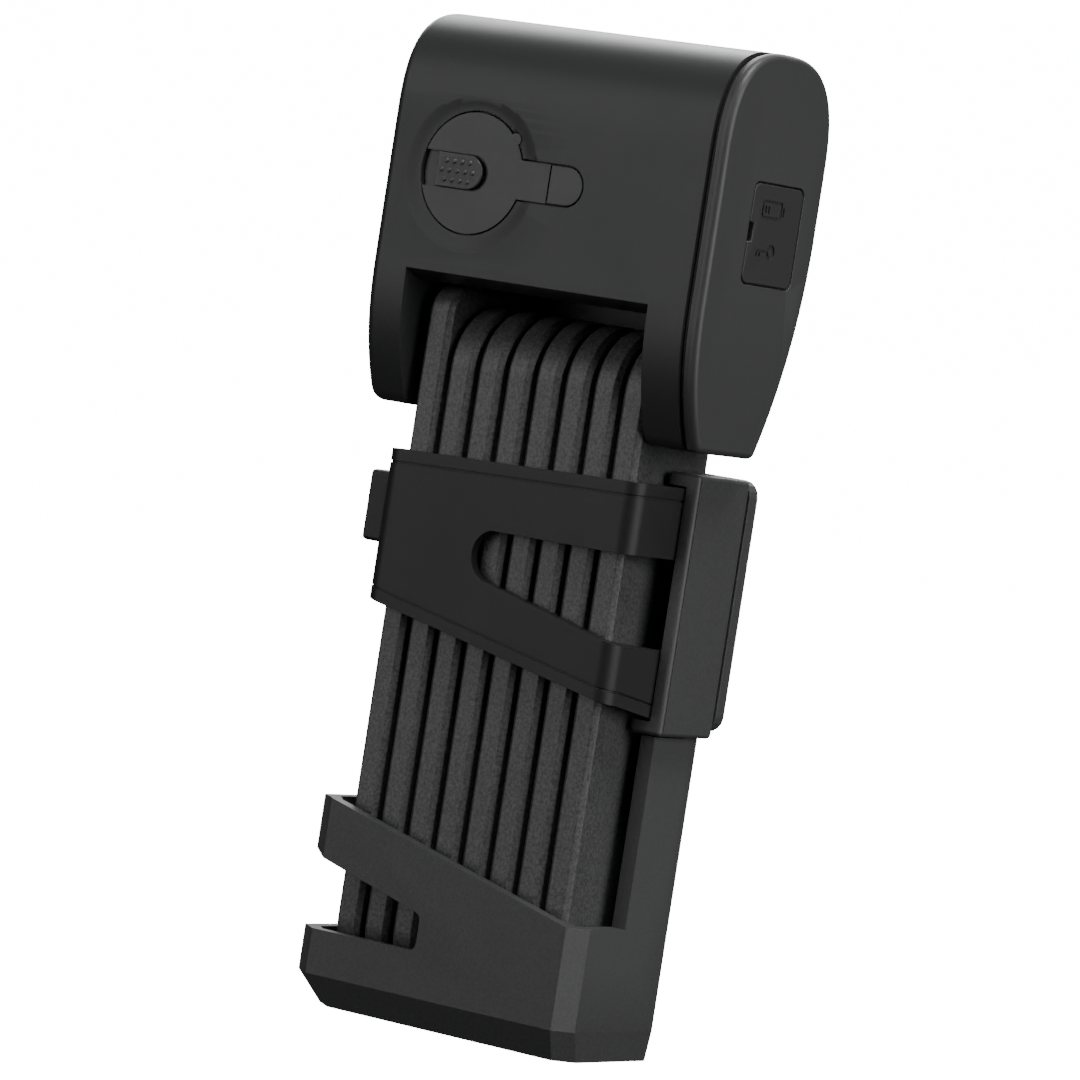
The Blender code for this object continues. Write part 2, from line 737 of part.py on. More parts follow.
def make_strap():
    """The rubber strap with its eye, its pull tab and the hole for the hook."""
    outer = strap_path()
    inner = inward(outer, STRAP_THICK)
    low = STRAP_LOW_RIGHT - THROUGH
    high = STRAP_TOP + THROUGH / 2
    body = prism("strap", "Z", outer + inner[::-1], low, high)
    eye = round_bar("eye", "Z", (EYE_X, EYE_Y, 0), low, high, EYE_RADIUS, steps=16)
    tab = block(
        "tab",
        (TAB_LEFT, TAB_FRONT, TAB_LOW_Z),
        (STRAP_LEFT + STRAP_THICK / 2, TAB_BACK, TAB_HIGH_Z),
    )
    bevel(tab, BLOCK_BEVEL)
    add(body, eye)
    cut(body, *strap_cutters())
    add(body, tab)
    eye_hole = round_bar(
        "eye_hole",
        "Z",
        (EYE_X, EYE_Y, 0),
        low - THROUGH,
        high + THROUGH,
        EYE_PIN_RADIUS + FIT,
        steps=16,
    )
    catch = block(
        "catch",
        (STRAP_LEFT - THROUGH, HOOK_FRONT - FIT, HOOK_LOW_Z - FIT),
        (STRAP_LEFT + STRAP_THICK + THROUGH, HOOK_BACK + FIT, HOOK_HIGH_Z + FIT),
    )
    cut(body, eye_hole, catch)
    finish(body, "strap", "rubber", (EYE_X, EYE_Y, 0.0))
    pin = round_bar(
        "anchor_pin",
        "Z",
        (EYE_X, EYE_Y, 0),
        BLOCK_LOW_Z + 2 * FIT,
        WALL_TOP - FIT,
        EYE_PIN_RADIUS,
        steps=16,
    )
    finish(pin, "strap_anchor_pin", "steel")


def make_bolt(name, z):
    """A countersunk M5 bolt."""
    head_front = CUP_INNER_BACK + FIT / 2
    bolt = round_bar(
        "bolt_head",
        "Y",
        (BOLT_X, 0, z),
        head_front,
        head_front + BOLT_HEAD_DEEP,
        BOLT_HEAD_RADIUS,
        BOLT_RADIUS,
        steps=24,
    )
    shank = round_bar(
        "bolt_shank",
        "Y",
        (BOLT_X, 0, z),
        head_front + BOLT_HEAD_DEEP / 2,
        BOLT_END_Y,
        BOLT_RADIUS,
        steps=24,
    )
    socket = round_bar(
        "bolt_socket",
        "Y",
        (BOLT_X, 0, z),
        head_front - FIT,
        head_front + BOLT_HEAD_DEEP,
        BOLT_RADIUS * 0.6,
        steps=6,
    )
    add(bolt, shank)
    cut(bolt, socket)
    finish(bolt, name, "steel")


def make_frame_plate():
    """The plate behind the block, and the spacer that matches it at the lower bolt."""
    outline = rounded_box(PLATE_LEFT, PLATE_RIGHT, PLATE_LOW_Z, PLATE_HIGH_Z, PLATE_CORNER)
    plate = prism("plate", "Y", outline, PLATE_FRONT, PLATE_BACK)
    upper = BOLT_LOW_Z + BOLT_PITCH
    cut(plate, countersunk_hole(upper)[0])
    finish(plate, "mount_plate", "holster")
    at = (BOLT_X, 0, BOLT_LOW_Z)
    spacer = round_bar("spacer", "Y", at, PLATE_FRONT, PLATE_BACK, SPACER_RADIUS)
    cut(spacer, countersunk_hole(BOLT_LOW_Z)[0])
    finish(spacer, "lower_spacer", "nylon")
    make_bolt("mount_bolt_lower", BOLT_LOW_Z)
    make_bolt("mount_bolt_upper", upper)


def head_outline(front, back, top, low):
    """The head's side profile in Y and Z: flat front, crowned top, tucked-in bottom."""
    points = []
    for i in range(HEAD_SIDE_STEPS + 1):
        z = low + (HEAD_FRONT_BEND_Z - low) * i / HEAD_SIDE_STEPS
        if z < HEAD_FRONT_BEND_Z or not points:
            drop = (HEAD_FRONT_BEND_Z - z) / (HEAD_FRONT_BEND_Z - HEAD_LOW_Z)
            points.append((front + HEAD_FRONT_TUCK * max(drop, 0) ** HEAD_FRONT_POWER, z))
    middle = (front + back) / 2
    half = (back - front) / 2
    rise = top - HEAD_CROWN_Z
    for i in range(HEAD_CROWN_STEPS + 1):
        angle = math.pi - math.pi * i / HEAD_CROWN_STEPS
        share = 2 / HEAD_CROWN_POWER
        across = abs(math.cos(angle)) ** share * math.copysign(1, math.cos(angle))
        points.append((middle + half * across, HEAD_CROWN_Z + rise * math.sin(angle) ** share))
    for i in range(1, HEAD_SIDE_STEPS + 1):
        z = HEAD_BACK_BEND_Z + (low - HEAD_BACK_BEND_Z) * i / HEAD_SIDE_STEPS
        drop = (HEAD_BACK_BEND_Z - z) / (HEAD_BACK_BEND_Z - HEAD_LOW_Z)
        points.append((back - HEAD_BACK_TUCK * drop**HEAD_BACK_POWER, z))
    return points


def inset_outline(outline, distance):
    """An outline moved inward by a distance; the outline runs clockwise in Y and Z."""
    moved = []
    count = len(outline)
    for i, (x, y) in enumerate(outline):
        before = Vector(outline[i - 1])
        after = Vector(outline[(i + 1) % count])
        here = Vector((x, y))
        first = (here - before).normalized()
        second = (after - here).normalized()
        normal = Vector((first.y + second.y, -first.x - second.x))
        normal.normalize()
        lean = max(normal.dot(Vector((first.y, -first.x))), 0.5)
        moved.append((x + normal.x * distance / lean, y + normal.y * distance / lean))
    return moved


def outer_profile():
    return head_outline(HEAD_FRONT, HEAD_BACK, HEAD_TOP_Z, HEAD_LOW_Z)


def chamber_outline():
    """The inside of the head above its floor."""
    full = head_outline(
        HEAD_FRONT + HEAD_FRONT_WALL,
        HEAD_BACK - HEAD_WALL,
        HEAD_TOP_Z - HEAD_WALL,
        HEAD_LOW_Z,
    )
    top = [(y, z) for y, z in full if z > CHAMBER_LOW_Z]
    first = (top[0][0], CHAMBER_LOW_Z)
    last = (top[-1][0] - FIT, CHAMBER_LOW_Z)
    return [first, *top, last]


def cover_outline(radius, half, right, round_right):
    """A disc with an arm to its right, in X and Z."""
    meet = math.degrees(math.asin(half / radius))
    disc = arc(COVER_X, COVER_Z, radius, meet, 360 - meet, 28)
    if round_right:
        end = arc(right - half, COVER_Z, half, -90, 90, 8)
    else:
        end = [(right, COVER_Z - half), (right, COVER_Z + half)]
    return disc + end


def slot_cutters():
    """The slot for the bars, its lead-in, and the way out for the first bar's end."""
    front = HEAD_FRONT - THROUGH
    back = HEAD_BACK + THROUGH
    low = HEAD_LOW_Z - THROUGH
    slot = block("slot", (SLOT_LEFT, front, low), (SLOT_RIGHT, SLOT_BACK, SLOT_TOP_Z))
    behind = SLOT_BACK - FIT
    rear = block("slot_rear", (SLOT_LEFT, behind, low), (SLOT_RIGHT, back, BACK_LIP_Z))
    right = PIVOT_ROOM_RIGHT
    way = block("pivot_way", (SLOT_LEFT, behind, low), (right, back, WAY_TOP_Z))
    relief = block("way_relief", (SLOT_LEFT, behind, low), (right, WAY_BACK, SLOT_TOP_Z))
    lead = prism(
        "slot_lead",
        "X",
        [
            (front, SLOT_TOP_Z - THROUGH),
            (front, SLOT_LIP_Z),
            (HEAD_FRONT, SLOT_LIP_Z),
            (HEAD_FRONT + SLOT_LIP_DEEP, SLOT_TOP_Z),
            (HEAD_FRONT + SLOT_LIP_DEEP, SLOT_TOP_Z - THROUGH),
        ],
        SLOT_LEFT,
        SLOT_RIGHT,
    )
    room = block(
        "pivot_room",
        (SLOT_LEFT, BAR_MID_Y - PIVOT_ROOM_HALF, SLOT_TOP_Z - THROUGH),
        (PIVOT_ROOM_RIGHT, BAR_MID_Y + PIVOT_ROOM_HALF, PIVOT_ROOM_TOP),
    )
    return slot, rear, way, relief, lead, room


def cover_nub(front, back, radius):
    """The small bump on the rim of the cover's disc."""
    turn = math.radians(NUB_TURN)
    x = COVER_X + COVER_RADIUS * math.cos(turn)
    z = COVER_Z + COVER_RADIUS * math.sin(turn)
    return round_bar("nub", "Y", (x, 0, z), front, back, radius, steps=12)


def cover_cutters():
    """The dished seat of the front cover and the opening behind it."""
    at = (COVER_X, 0, COVER_Z)
    dish = round_bar(
        "dish",
        "Y",
        at,
        HEAD_FRONT - DISH_DEEP,
        HEAD_FRONT + DISH_DEEP,
        2 * DISH_RADIUS - DISH_FLOOR_RADIUS,
        DISH_FLOOR_RADIUS,
        steps=40,
    )
    seat = prism(
        "cover_seat",
        "Y",
        cover_outline(COVER_RADIUS + FIT, ARM_HALF + FIT, TETHER_RIGHT + FIT, True),
        HEAD_FRONT - THROUGH,
        POCKET_BACK,
    )
    nub = cover_nub(HEAD_FRONT - THROUGH, POCKET_BACK, NUB_RADIUS)
    window = round_bar(
        "sensor_window",
        "Y",
        at,
        POCKET_BACK - FIT,
        HEAD_FRONT + HEAD_FRONT_WALL + FIT,
        SENSOR_RADIUS + FIT,
        steps=28,
    )
    return dish, seat, nub, window


def make_shell():
    """The head's shell, open at its right end."""
    far = CAP_RIGHT + THROUGH
    shell = prism("shell", "X", outer_profile(), HEAD_LEFT, far)
    bevel(shell, HEAD_END_ROUND, segments=3, angle=50)
    trim = block(
        "trim",
        (HEAD_RIGHT, HEAD_FRONT - THROUGH, HEAD_LOW_Z - THROUGH),
        (far + THROUGH, HEAD_BACK + THROUGH, HEAD_TOP_Z + THROUGH),
    )
    chamber = prism("chamber", "X", chamber_outline(), HEAD_LEFT + HEAD_WALL, far)
    leg_room = block(
        "leg_room",
        (LEG_ROOM_LEFT, BAR_MID_Y - LEG_ROOM_HALF, LEG_ROOM_LOW_Z),
        (far, BAR_MID_Y + LEG_ROOM_HALF, CHAMBER_LOW_Z + THROUGH),
    )
    pivot = (0, BAR_MID_Y, PIN_HIGH_Z)
    pin_bore = round_bar(
        "pin_bore",
        "X",
        pivot,
        HEAD_PIN_LEFT - FIT,
        SLOT_LEFT + THROUGH,
        RIVET_RADIUS + FIT,
        steps=20,
    )
    bolt_bore = round_bar(
        "bolt_bore",
        "X",
        pivot,
        SLOT_RIGHT - THROUGH,
        LEG_ROOM_LEFT + FIT,
        LOCK_BOLT_RADIUS + FIT,
        steps=20,
    )
    cut(shell, trim, *slot_cutters(), chamber, leg_room, pin_bore, bolt_bore)
    cut(shell, *cover_cutters())
    finish(shell, "head_shell", "shell", (HEAD_LEFT, BAR_MID_Y, PIN_HIGH_Z))


def make_head_pin():
    """The pin that holds the first bar in the head."""
    pin = round_bar(
        "head_pin",
        "X",
        (0, BAR_MID_Y, PIN_HIGH_Z),
        HEAD_PIN_LEFT,
        bar_left(1) + BAR_THICK,
        RIVET_RADIUS,
        steps=20,
    )
    finish(pin, "head_pin", "steel", (HEAD_PIN_LEFT, BAR_MID_Y, PIN_HIGH_Z))


def flap_outline(grow):
    return rounded_box(
        FLAP_FRONT - grow, FLAP_BACK + grow, FLAP_LOW_Z - grow, FLAP_HIGH_Z + grow, FLAP_CORNER
    )


def make_end_cap():
    """The right end cap, with the flap's seat and the two port holes."""
    cap = prism("cap", "X", outer_profile(), CAP_LEFT - THROUGH, CAP_RIGHT)
    bevel(cap, CAP_BEVEL, segments=2, angle=50)
    trim = block(
        "cap_trim",
        (CAP_LEFT - 2 * THROUGH, HEAD_FRONT - THROUGH, HEAD_LOW_Z - THROUGH),
        (CAP_LEFT, HEAD_BACK + THROUGH, HEAD_TOP_Z + THROUGH),
    )
    seat_floor = CAP_RIGHT - FLAP_THICK - FIT
    seat = prism("flap_seat", "X", flap_outline(FIT), seat_floor, CAP_RIGHT + THROUGH)
    usb_half = USB_WIDE / 2 + FIT
    usb_rise = USB_TALL / 2 + FIT
    usb_hole = prism(
        "usb_hole",
        "X",
        rounded_box(
            PORT_Y - usb_half, PORT_Y + usb_half, USB_Z - usb_rise, USB_Z + usb_rise, usb_rise * 0.9
        ),
        CAP_LEFT - THROUGH,
        CAP_RIGHT + THROUGH,
    )
    key_hole = round_bar(
        "key_hole",
        "X",
        (0, PORT_Y, KEY_Z),
        CAP_LEFT - THROUGH,
        CAP_RIGHT + THROUGH,
        KEY_RADIUS + FIT,
        steps=24,
    )
    cut(cap, trim, seat, usb_hole, key_hole)
    finish(cap, "end_cap", "shell")


def make_seal():
    """The gasket between shell and cap."""
    outer = inset_outline(outer_profile(), SEAL_INSET)
    inner = inset_outline(outer_profile(), SEAL_BAND)
    seal = prism("seal", "X", outer, HEAD_RIGHT + SEAL_FIT, CAP_LEFT - SEAL_FIT)
    hole = prism("seal_hole", "X", inner, HEAD_RIGHT - THROUGH, CAP_LEFT + THROUGH)
    cut(seal, hole)
    finish(seal, "cap_seal", "rubber")


def make_ports():
    """USB socket, key cylinder and its plug."""
    face = CAP_RIGHT - FLAP_THICK - 2 * FIT
    half = USB_WIDE / 2
    rise = USB_TALL / 2
    outline = rounded_box(PORT_Y - half, PORT_Y + half, USB_Z - rise, USB_Z + rise, rise * 0.9)
    socket = prism("usb", "X", outline, USB_LEFT, face)
    half -= USB_SKIN
    rise -= USB_SKIN
    inner = rounded_box(PORT_Y - half, PORT_Y + half, USB_Z - rise, USB_Z + rise, rise * 0.9)
    cut(socket, prism("usb_bore", "X", inner, face - USB_DEEP, face + THROUGH))
    finish(socket, "usb_socket", "steel")
    at = (0, PORT_Y, KEY_Z)
    cylinder = round_bar("key_body", "X", at, KEY_LEFT, face, KEY_RADIUS, steps=24)
    bore = round_bar(
        "key_bore", "X", at, KEY_LEFT + FIT * 2, face + THROUGH, PLUG_RADIUS + FIT, steps=24
    )
    cut(cylinder, bore)
    finish(cylinder, "key_cylinder", "dark_steel")
    plug = round_bar("plug", "X", at, KEY_LEFT + FIT * 3, face, PLUG_RADIUS, steps=24)
    keyway = block(
        "keyway",
        (face - KEYWAY_DEEP, PORT_Y - KEYWAY_WIDE / 2, KEY_Z - KEYWAY_TALL / 2),
        (face + THROUGH, PORT_Y + KEYWAY_WIDE / 2, KEY_Z + KEYWAY_TALL / 2),
    )
    cut(plug, keyway)
    finish(plug, "key_plug", "steel", (face, PORT_Y, KEY_Z))


def make_flap():
    """The rubber flap over the ports, hinged at its rear edge."""
    flap = prism("flap", "X", flap_outline(0.0), CAP_RIGHT - FLAP_THICK, CAP_RIGHT)
    notch = block(
        "notch",
        (CAP_RIGHT - THROUGH, FLAP_FRONT - THROUGH, FLAP_NOTCH_LOW),
        (CAP_RIGHT + THROUGH, FLAP_FRONT + FLAP_NOTCH_DEEP, FLAP_NOTCH_HIGH),
    )
    cut(flap, notch)
    middle = (FLAP_LOW_Z + FLAP_HIGH_Z) / 2
    finish(flap, "port_flap", "rubber", (CAP_RIGHT, FLAP_BACK, middle))


def make_lock_bolt():
    """The bolt that reaches from the right leg into the last bar."""
    at = (0, BAR_MID_Y, PIN_HIGH_Z)
    bolt = round_bar(
        "lock_bolt", "X", at, LOCK_BOLT_TIP, LOCK_BOLT_END, LOCK_BOLT_RADIUS, steps=20
    )
    flange = round_bar(
        "lock_bolt_flange",
        "X",
        at,
        LOCK_BOLT_END,
        LOCK_BOLT_END + FIT * 3,
        LOCK_BOLT_FLANGE,
        steps=20,
    )
    add(bolt, flange)
    finish(bolt, "lock_bolt", "steel", (LOCK_BOLT_TIP, BAR_MID_Y, PIN_HIGH_Z))


def make_cover():
    """The cover's disc and arm, the fixed end of its tether, and its slider."""
    outline = cover_outline(COVER_RADIUS, ARM_HALF, ARM_HINGE_X - FIT / 2, False)
    cover = prism("cover", "Y", outline, COVER_FRONT, COVER_BACK)
    add(cover, cover_nub(COVER_FRONT + FIT / 3, COVER_BACK - FIT / 3, NUB_RADIUS - FIT))
    end = SLIDER_TRACK_RIGHT - SLIDER_HALF
    track_half = SLIDER_HALF + FIT / 2
    track = prism(
        "track",
        "Y",
        [(SLIDER_TRACK_LEFT, COVER_Z - track_half)]
        + arc(end, COVER_Z, track_half, -90, 90, 8)
        + [(SLIDER_TRACK_LEFT, COVER_Z + track_half)],
        COVER_FRONT - THROUGH,
        SLIDER_BACK + FIT,
    )
    cut(cover, track)
    finish(cover, "sensor_cover", "rubber", (ARM_HINGE_X, TETHER_FRONT, COVER_Z))
    tether = prism(
        "tether",
        "Y",
        [(ARM_HINGE_X + FIT / 2, COVER_Z - ARM_HALF)]
        + arc(TETHER_RIGHT - ARM_HALF, COVER_Z, ARM_HALF, -90, 90, 8)
        + [(ARM_HINGE_X + FIT / 2, COVER_Z + ARM_HALF)],
        TETHER_FRONT,
        COVER_BACK,
    )
    finish(tether, "cover_tether", "rubber")
    slider = prism(
        "slider",
        "Y",
        [(SLIDER_LEFT, COVER_Z - SLIDER_HALF)]
        + arc(SLIDER_RIGHT - SLIDER_HALF, COVER_Z, SLIDER_HALF, -90, 90, 8)
        + [(SLIDER_LEFT, COVER_Z + SLIDER_HALF)],
        SLIDER_FRONT,
        SLIDER_BACK,
    )
    finish(slider, "cover_slider", "nylon", (SLIDER_LEFT, SLIDER_FRONT, COVER_Z))


def centred_box(name, at, size, kind):
    low = [a - s / 2 for a, s in zip(at, size)]
    high = [a + s / 2 for a, s in zip(at, size)]
    finish(block(name, low, high), name, kind)


def make_electronics():
    """Sensor, board, cell and motor inside the head."""
    at = (COVER_X, 0, COVER_Z)
    sensor = round_bar("sensor", "Y", at, POCKET_BACK, SENSOR_BACK, SENSOR_RADIUS, steps=28)
    finish(sensor, "touch_sensor", "glass")
    centred_box("circuit_board", BOARD_AT, BOARD_SIZE, "board")
    centred_box("battery", CELL_AT, CELL_SIZE, "cell")
    motor = round_bar(
        "motor", "X", (0, BAR_MID_Y, MOTOR_Z), MOTOR_SPAN[0], MOTOR_SPAN[1], MOTOR_RADIUS, steps=20
    )
    finish(motor, "motor", "steel")


make_holster()
make_block()
make_strap()
make_frame_plate()
for number in range(1, BAR_COUNT + 1):
    make_bar(number)
for number in range(1, BAR_COUNT):
    make_rivet(number)
make_shell()
make_head_pin()
make_end_cap()
make_seal()
make_ports()
make_flap()
make_lock_bolt()
make_cover()
make_electronics()
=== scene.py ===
"""Looks of the folding bike lock in its frame holster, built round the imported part.

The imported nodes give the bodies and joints. Bars, moulded covers, the head, the strap
and the clamp block are made again here with fine curves, rounded edges and their small
details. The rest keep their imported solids, softened by modifiers. Sizes are in metres;
+X runs across the stack to the right, +Y to the back and +Z up.
"""

import json
import math

import bmesh
import bpy
from mathutils import Matrix, Vector


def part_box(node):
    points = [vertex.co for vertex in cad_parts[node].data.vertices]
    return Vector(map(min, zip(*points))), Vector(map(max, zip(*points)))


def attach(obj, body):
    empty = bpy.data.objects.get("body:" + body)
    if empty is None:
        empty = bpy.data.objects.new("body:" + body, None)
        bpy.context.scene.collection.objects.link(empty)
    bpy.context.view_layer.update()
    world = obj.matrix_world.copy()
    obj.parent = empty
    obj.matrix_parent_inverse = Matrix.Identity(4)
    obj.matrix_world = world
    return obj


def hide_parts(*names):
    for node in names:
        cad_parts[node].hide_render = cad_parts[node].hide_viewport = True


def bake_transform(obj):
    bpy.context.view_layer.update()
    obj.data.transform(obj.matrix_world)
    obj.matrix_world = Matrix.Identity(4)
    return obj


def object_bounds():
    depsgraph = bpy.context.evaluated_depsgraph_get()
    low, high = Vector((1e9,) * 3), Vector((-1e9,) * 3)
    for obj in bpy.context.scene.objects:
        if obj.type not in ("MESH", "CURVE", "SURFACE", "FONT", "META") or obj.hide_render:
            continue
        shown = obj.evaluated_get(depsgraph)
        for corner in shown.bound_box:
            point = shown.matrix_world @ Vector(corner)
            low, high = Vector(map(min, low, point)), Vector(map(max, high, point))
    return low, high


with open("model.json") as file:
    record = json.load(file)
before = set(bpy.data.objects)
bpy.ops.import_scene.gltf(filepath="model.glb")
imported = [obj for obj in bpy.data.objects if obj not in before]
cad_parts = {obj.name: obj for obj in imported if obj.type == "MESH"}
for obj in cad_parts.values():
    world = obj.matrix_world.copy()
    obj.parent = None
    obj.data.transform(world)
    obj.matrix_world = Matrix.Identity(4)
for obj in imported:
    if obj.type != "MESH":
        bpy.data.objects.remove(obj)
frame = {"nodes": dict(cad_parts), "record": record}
CAD_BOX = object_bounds()

MM = 0.001
FIT = 0.3 * MM
THROUGH = 5.0 * MM


# Folded bars
BAR_COUNT = 8
BAR_THICK = 5.3 * MM
BAR_GAP = 1.0 * MM
BAR_PITCH = BAR_THICK + BAR_GAP
BAR_LEFT = -24.2 * MM
STACK_RIGHT = BAR_LEFT + (BAR_COUNT - 1) * BAR_PITCH + BAR_THICK
BAR_RADIUS = 11.9 * MM
BAR_MID_Y = 1.0 * MM
BAR_CHAMFER = 0.9 * MM
PIN_LOW_Z = 16.4 * MM
PIN_HIGH_Z = 117.6 * MM
HEAD_BAR_TOP = PIN_HIGH_Z + 14.8 * MM
HEAD_BAR_CORNER = 5.5 * MM
RIVET_RADIUS = 4.0 * MM

# Clamp block and strap
CUP_BACK = 15.3 * MM
WALL_TOP = PIN_HIGH_Z - BAR_RADIUS
BLOCK_LEFT = STACK_RIGHT + 1.1 * MM
BLOCK_RIGHT = STACK_RIGHT + 7.8 * MM
BLOCK_FRONT = -1.8 * MM
BLOCK_BACK = 9.2 * MM
BLOCK_PLATE_LEFT = STACK_RIGHT + 6.1 * MM
BLOCK_LOW_Z = WALL_TOP - 46.8 * MM
BLOCK_MOUTH_RIGHT = STACK_RIGHT + 5.3 * MM
BLOCK_MOUTH_BACK = 8.0 * MM
BLOCK_MOUTH_LOW = WALL_TOP - 44.4 * MM
BLOCK_MOUTH_HIGH = WALL_TOP - 2.4 * MM
HOOK_FRONT = 6.6 * MM
HOOK_BACK = 8.6 * MM
HOOK_LOW_Z = WALL_TOP - 19.3 * MM
HOOK_HIGH_Z = WALL_TOP - 10.3 * MM
STRAP_THICK = 2.0 * MM
STRAP_FRONT = -13.5 * MM
STRAP_LEFT = -27.1 * MM
STRAP_RIGHT_FRONT = STACK_RIGHT + 3.2 * MM
STRAP_RIGHT_BACK = STACK_RIGHT + 5.0 * MM
STRAP_TAIL_Y = 12.6 * MM
STRAP_CORNER = 3.4 * MM
STRAP_TOP = WALL_TOP - 2.7 * MM
STRAP_TOP_LEFT = WALL_TOP - 4.1 * MM
STRAP_LOW_LEFT = WALL_TOP - 31.3 * MM
STRAP_LOW_RIGHT = WALL_TOP - 42.3 * MM
STRAP_ROOT_DROP = 1.6 * MM
EYE_X = STACK_RIGHT + 3.1 * MM
EYE_Y = 4.6 * MM
EYE_RADIUS = 2.1 * MM
EYE_PIN_RADIUS = 0.9 * MM
SLIT_LEFT = -4.9 * MM
SLIT_TOP = WALL_TOP - 15.5 * MM
SLIT_LOW_LEFT = WALL_TOP - 24.9 * MM
SLIT_LOW_RIGHT = WALL_TOP - 31.7 * MM
TAB_LEFT = -32.4 * MM
TAB_FRONT = -9.5 * MM
TAB_BACK = -2.0 * MM
TAB_LOW_Z = WALL_TOP - 21.5 * MM
TAB_HIGH_Z = WALL_TOP - 8.5 * MM

# Lock head
HEAD_LEFT = -35.0 * MM
HEAD_RIGHT = STACK_RIGHT + 8.5 * MM
HEAD_FRONT = -16.0 * MM
HEAD_BACK = 17.5 * MM
HEAD_LOW_Z = PIN_HIGH_Z - 7.9 * MM
HEAD_TOP_Z = PIN_HIGH_Z + 63.6 * MM
HEAD_FRONT_BEND_Z = PIN_HIGH_Z + 18.8 * MM
HEAD_FRONT_TUCK = 6.0 * MM
HEAD_FRONT_POWER = 2.5
HEAD_BACK_BEND_Z = PIN_HIGH_Z + 33.8 * MM
HEAD_BACK_TUCK = 9.4 * MM
HEAD_BACK_POWER = 2.1
HEAD_CROWN_Z = PIN_HIGH_Z + 43.8 * MM
HEAD_CROWN_POWER = 2.7
HEAD_END_ROUND = 2.4 * MM
HEAD_WALL = 2.4 * MM
HEAD_FRONT_WALL = 3.6 * MM
CHAMBER_LOW_Z = PIN_HIGH_Z + 20.8 * MM
SLOT_LEFT = -26.8 * MM
SLOT_RIGHT = STACK_RIGHT + 0.7 * MM
SLOT_TOP_Z = PIN_HIGH_Z + 14.9 * MM
SLOT_BACK = 13.6 * MM
BACK_LIP_Z = PIN_HIGH_Z + 9.4 * MM
WAY_BACK = 14.0 * MM
WAY_TOP_Z = PIN_HIGH_Z + 10.9 * MM
SLOT_LIP_Z = PIN_HIGH_Z + 16.6 * MM
SLOT_LIP_DEEP = 3.6 * MM
PIVOT_ROOM_RIGHT = -18.4 * MM
PIVOT_ROOM_HALF = 9.4 * MM
PIVOT_ROOM_TOP = PIN_HIGH_Z + 18.4 * MM
LEG_ROOM_LEFT = STACK_RIGHT + 3.0 * MM
LEG_ROOM_HALF = 6.0 * MM
LEG_ROOM_LOW_Z = PIN_HIGH_Z - 4.7 * MM
HEAD_PIN_LEFT = -33.0 * MM
LOCK_BOLT_RADIUS = 3.0 * MM

# End cap and port flap
CAP_LEFT = STACK_RIGHT + 9.4 * MM
CAP_RIGHT = STACK_RIGHT + 12.1 * MM
CAP_BEVEL = 1.1 * MM
FLAP_FRONT = -5.0 * MM
FLAP_BACK = 11.0 * MM
FLAP_LOW_Z = PIN_HIGH_Z + 22.9 * MM
FLAP_HIGH_Z = PIN_HIGH_Z + 40.6 * MM
FLAP_THICK = 1.2 * MM
FLAP_CORNER = 1.6 * MM
FLAP_NOTCH_LOW = PIN_HIGH_Z + 30.2 * MM
FLAP_NOTCH_HIGH = PIN_HIGH_Z + 33.6 * MM
FLAP_NOTCH_DEEP = 1.3 * MM
PORT_Y = 3.0 * MM
USB_Z = PIN_HIGH_Z + 37.0 * MM
USB_WIDE = 8.9 * MM
USB_TALL = 3.2 * MM
USB_DEEP = 6.0 * MM
KEY_Z = PIN_HIGH_Z + 28.4 * MM
KEY_RADIUS = 4.2 * MM

# Front cover
COVER_X = -15.9 * MM
COVER_Z = PIN_HIGH_Z + 34.9 * MM
COVER_RADIUS = 10.9 * MM
COVER_FRONT = -15.7 * MM
COVER_BACK = -14.2 * MM
DISH_DEEP = 0.45 * MM
POCKET_BACK = -13.9 * MM
ARM_HALF = 3.5 * MM
ARM_HINGE_X = 1.0 * MM
NUB_TURN = 40.0
NUB_RADIUS = 1.3 * MM
TETHER_RIGHT = 8.4 * MM
TETHER_FRONT = -15.9 * MM
SLIDER_LEFT = -23.6 * MM
SLIDER_RIGHT = -13.7 * MM
SLIDER_HALF = 3.1 * MM
SLIDER_FRONT = -15.8 * MM
SLIDER_BACK = -15.0 * MM
SLIDER_TRACK_LEFT = -27.0 * MM
SLIDER_TRACK_RIGHT = -12.5 * MM
SENSOR_RADIUS = 7.0 * MM

# Finer shaping of the visible pieces
END_STEPS = 40
BEND_STEPS = 14
HEAD_SIDE_STEPS = 14
HEAD_CROWN_STEPS = 64
BAR_EDGE = 0.15 * MM
BLOCK_ROUND = 0.8 * MM
PARTING_WIDE = 0.25 * MM
PARTING_DEEP = 0.35 * MM
GROOVE_INSET = 2.4 * MM
GROOVE_WIDE = 0.4 * MM
GROOVE_DEEP = 0.3 * MM
SHELL_EDGE = 0.3 * MM
DISH_RIM = 15.2 * MM
DISH_STEPS = 8
STEP_RIGHT = 35.6 * MM
STEP_DEEP = 0.35 * MM
MARK_Y = 1.4 * MM
MARK_HIGH_Z = PIN_HIGH_Z + 36.2 * MM
MARK_LOW_Z = PIN_HIGH_Z + 28.8 * MM
MARK_WIDE = 6.6 * MM
MARK_LINE = 0.5 * MM
MARK_DEEP = 0.25 * MM
TONGUE_TALL = 0.7 * MM
CONTACT_COUNT = 6
CONTACT_PITCH = 0.9 * MM
GRIP_PITCH = 1.7 * MM
GRIP_RADIUS = 0.5 * MM
GRIP_PROUD = 0.3 * MM
NUB_SHIFT = 0.4 * MM
FINE_EDGE = 0.12 * MM
BEND_SHIFT = 0.8 * MM
BEND_LONG = 7.6 * MM
BEND_STEP = 0.9 * MM

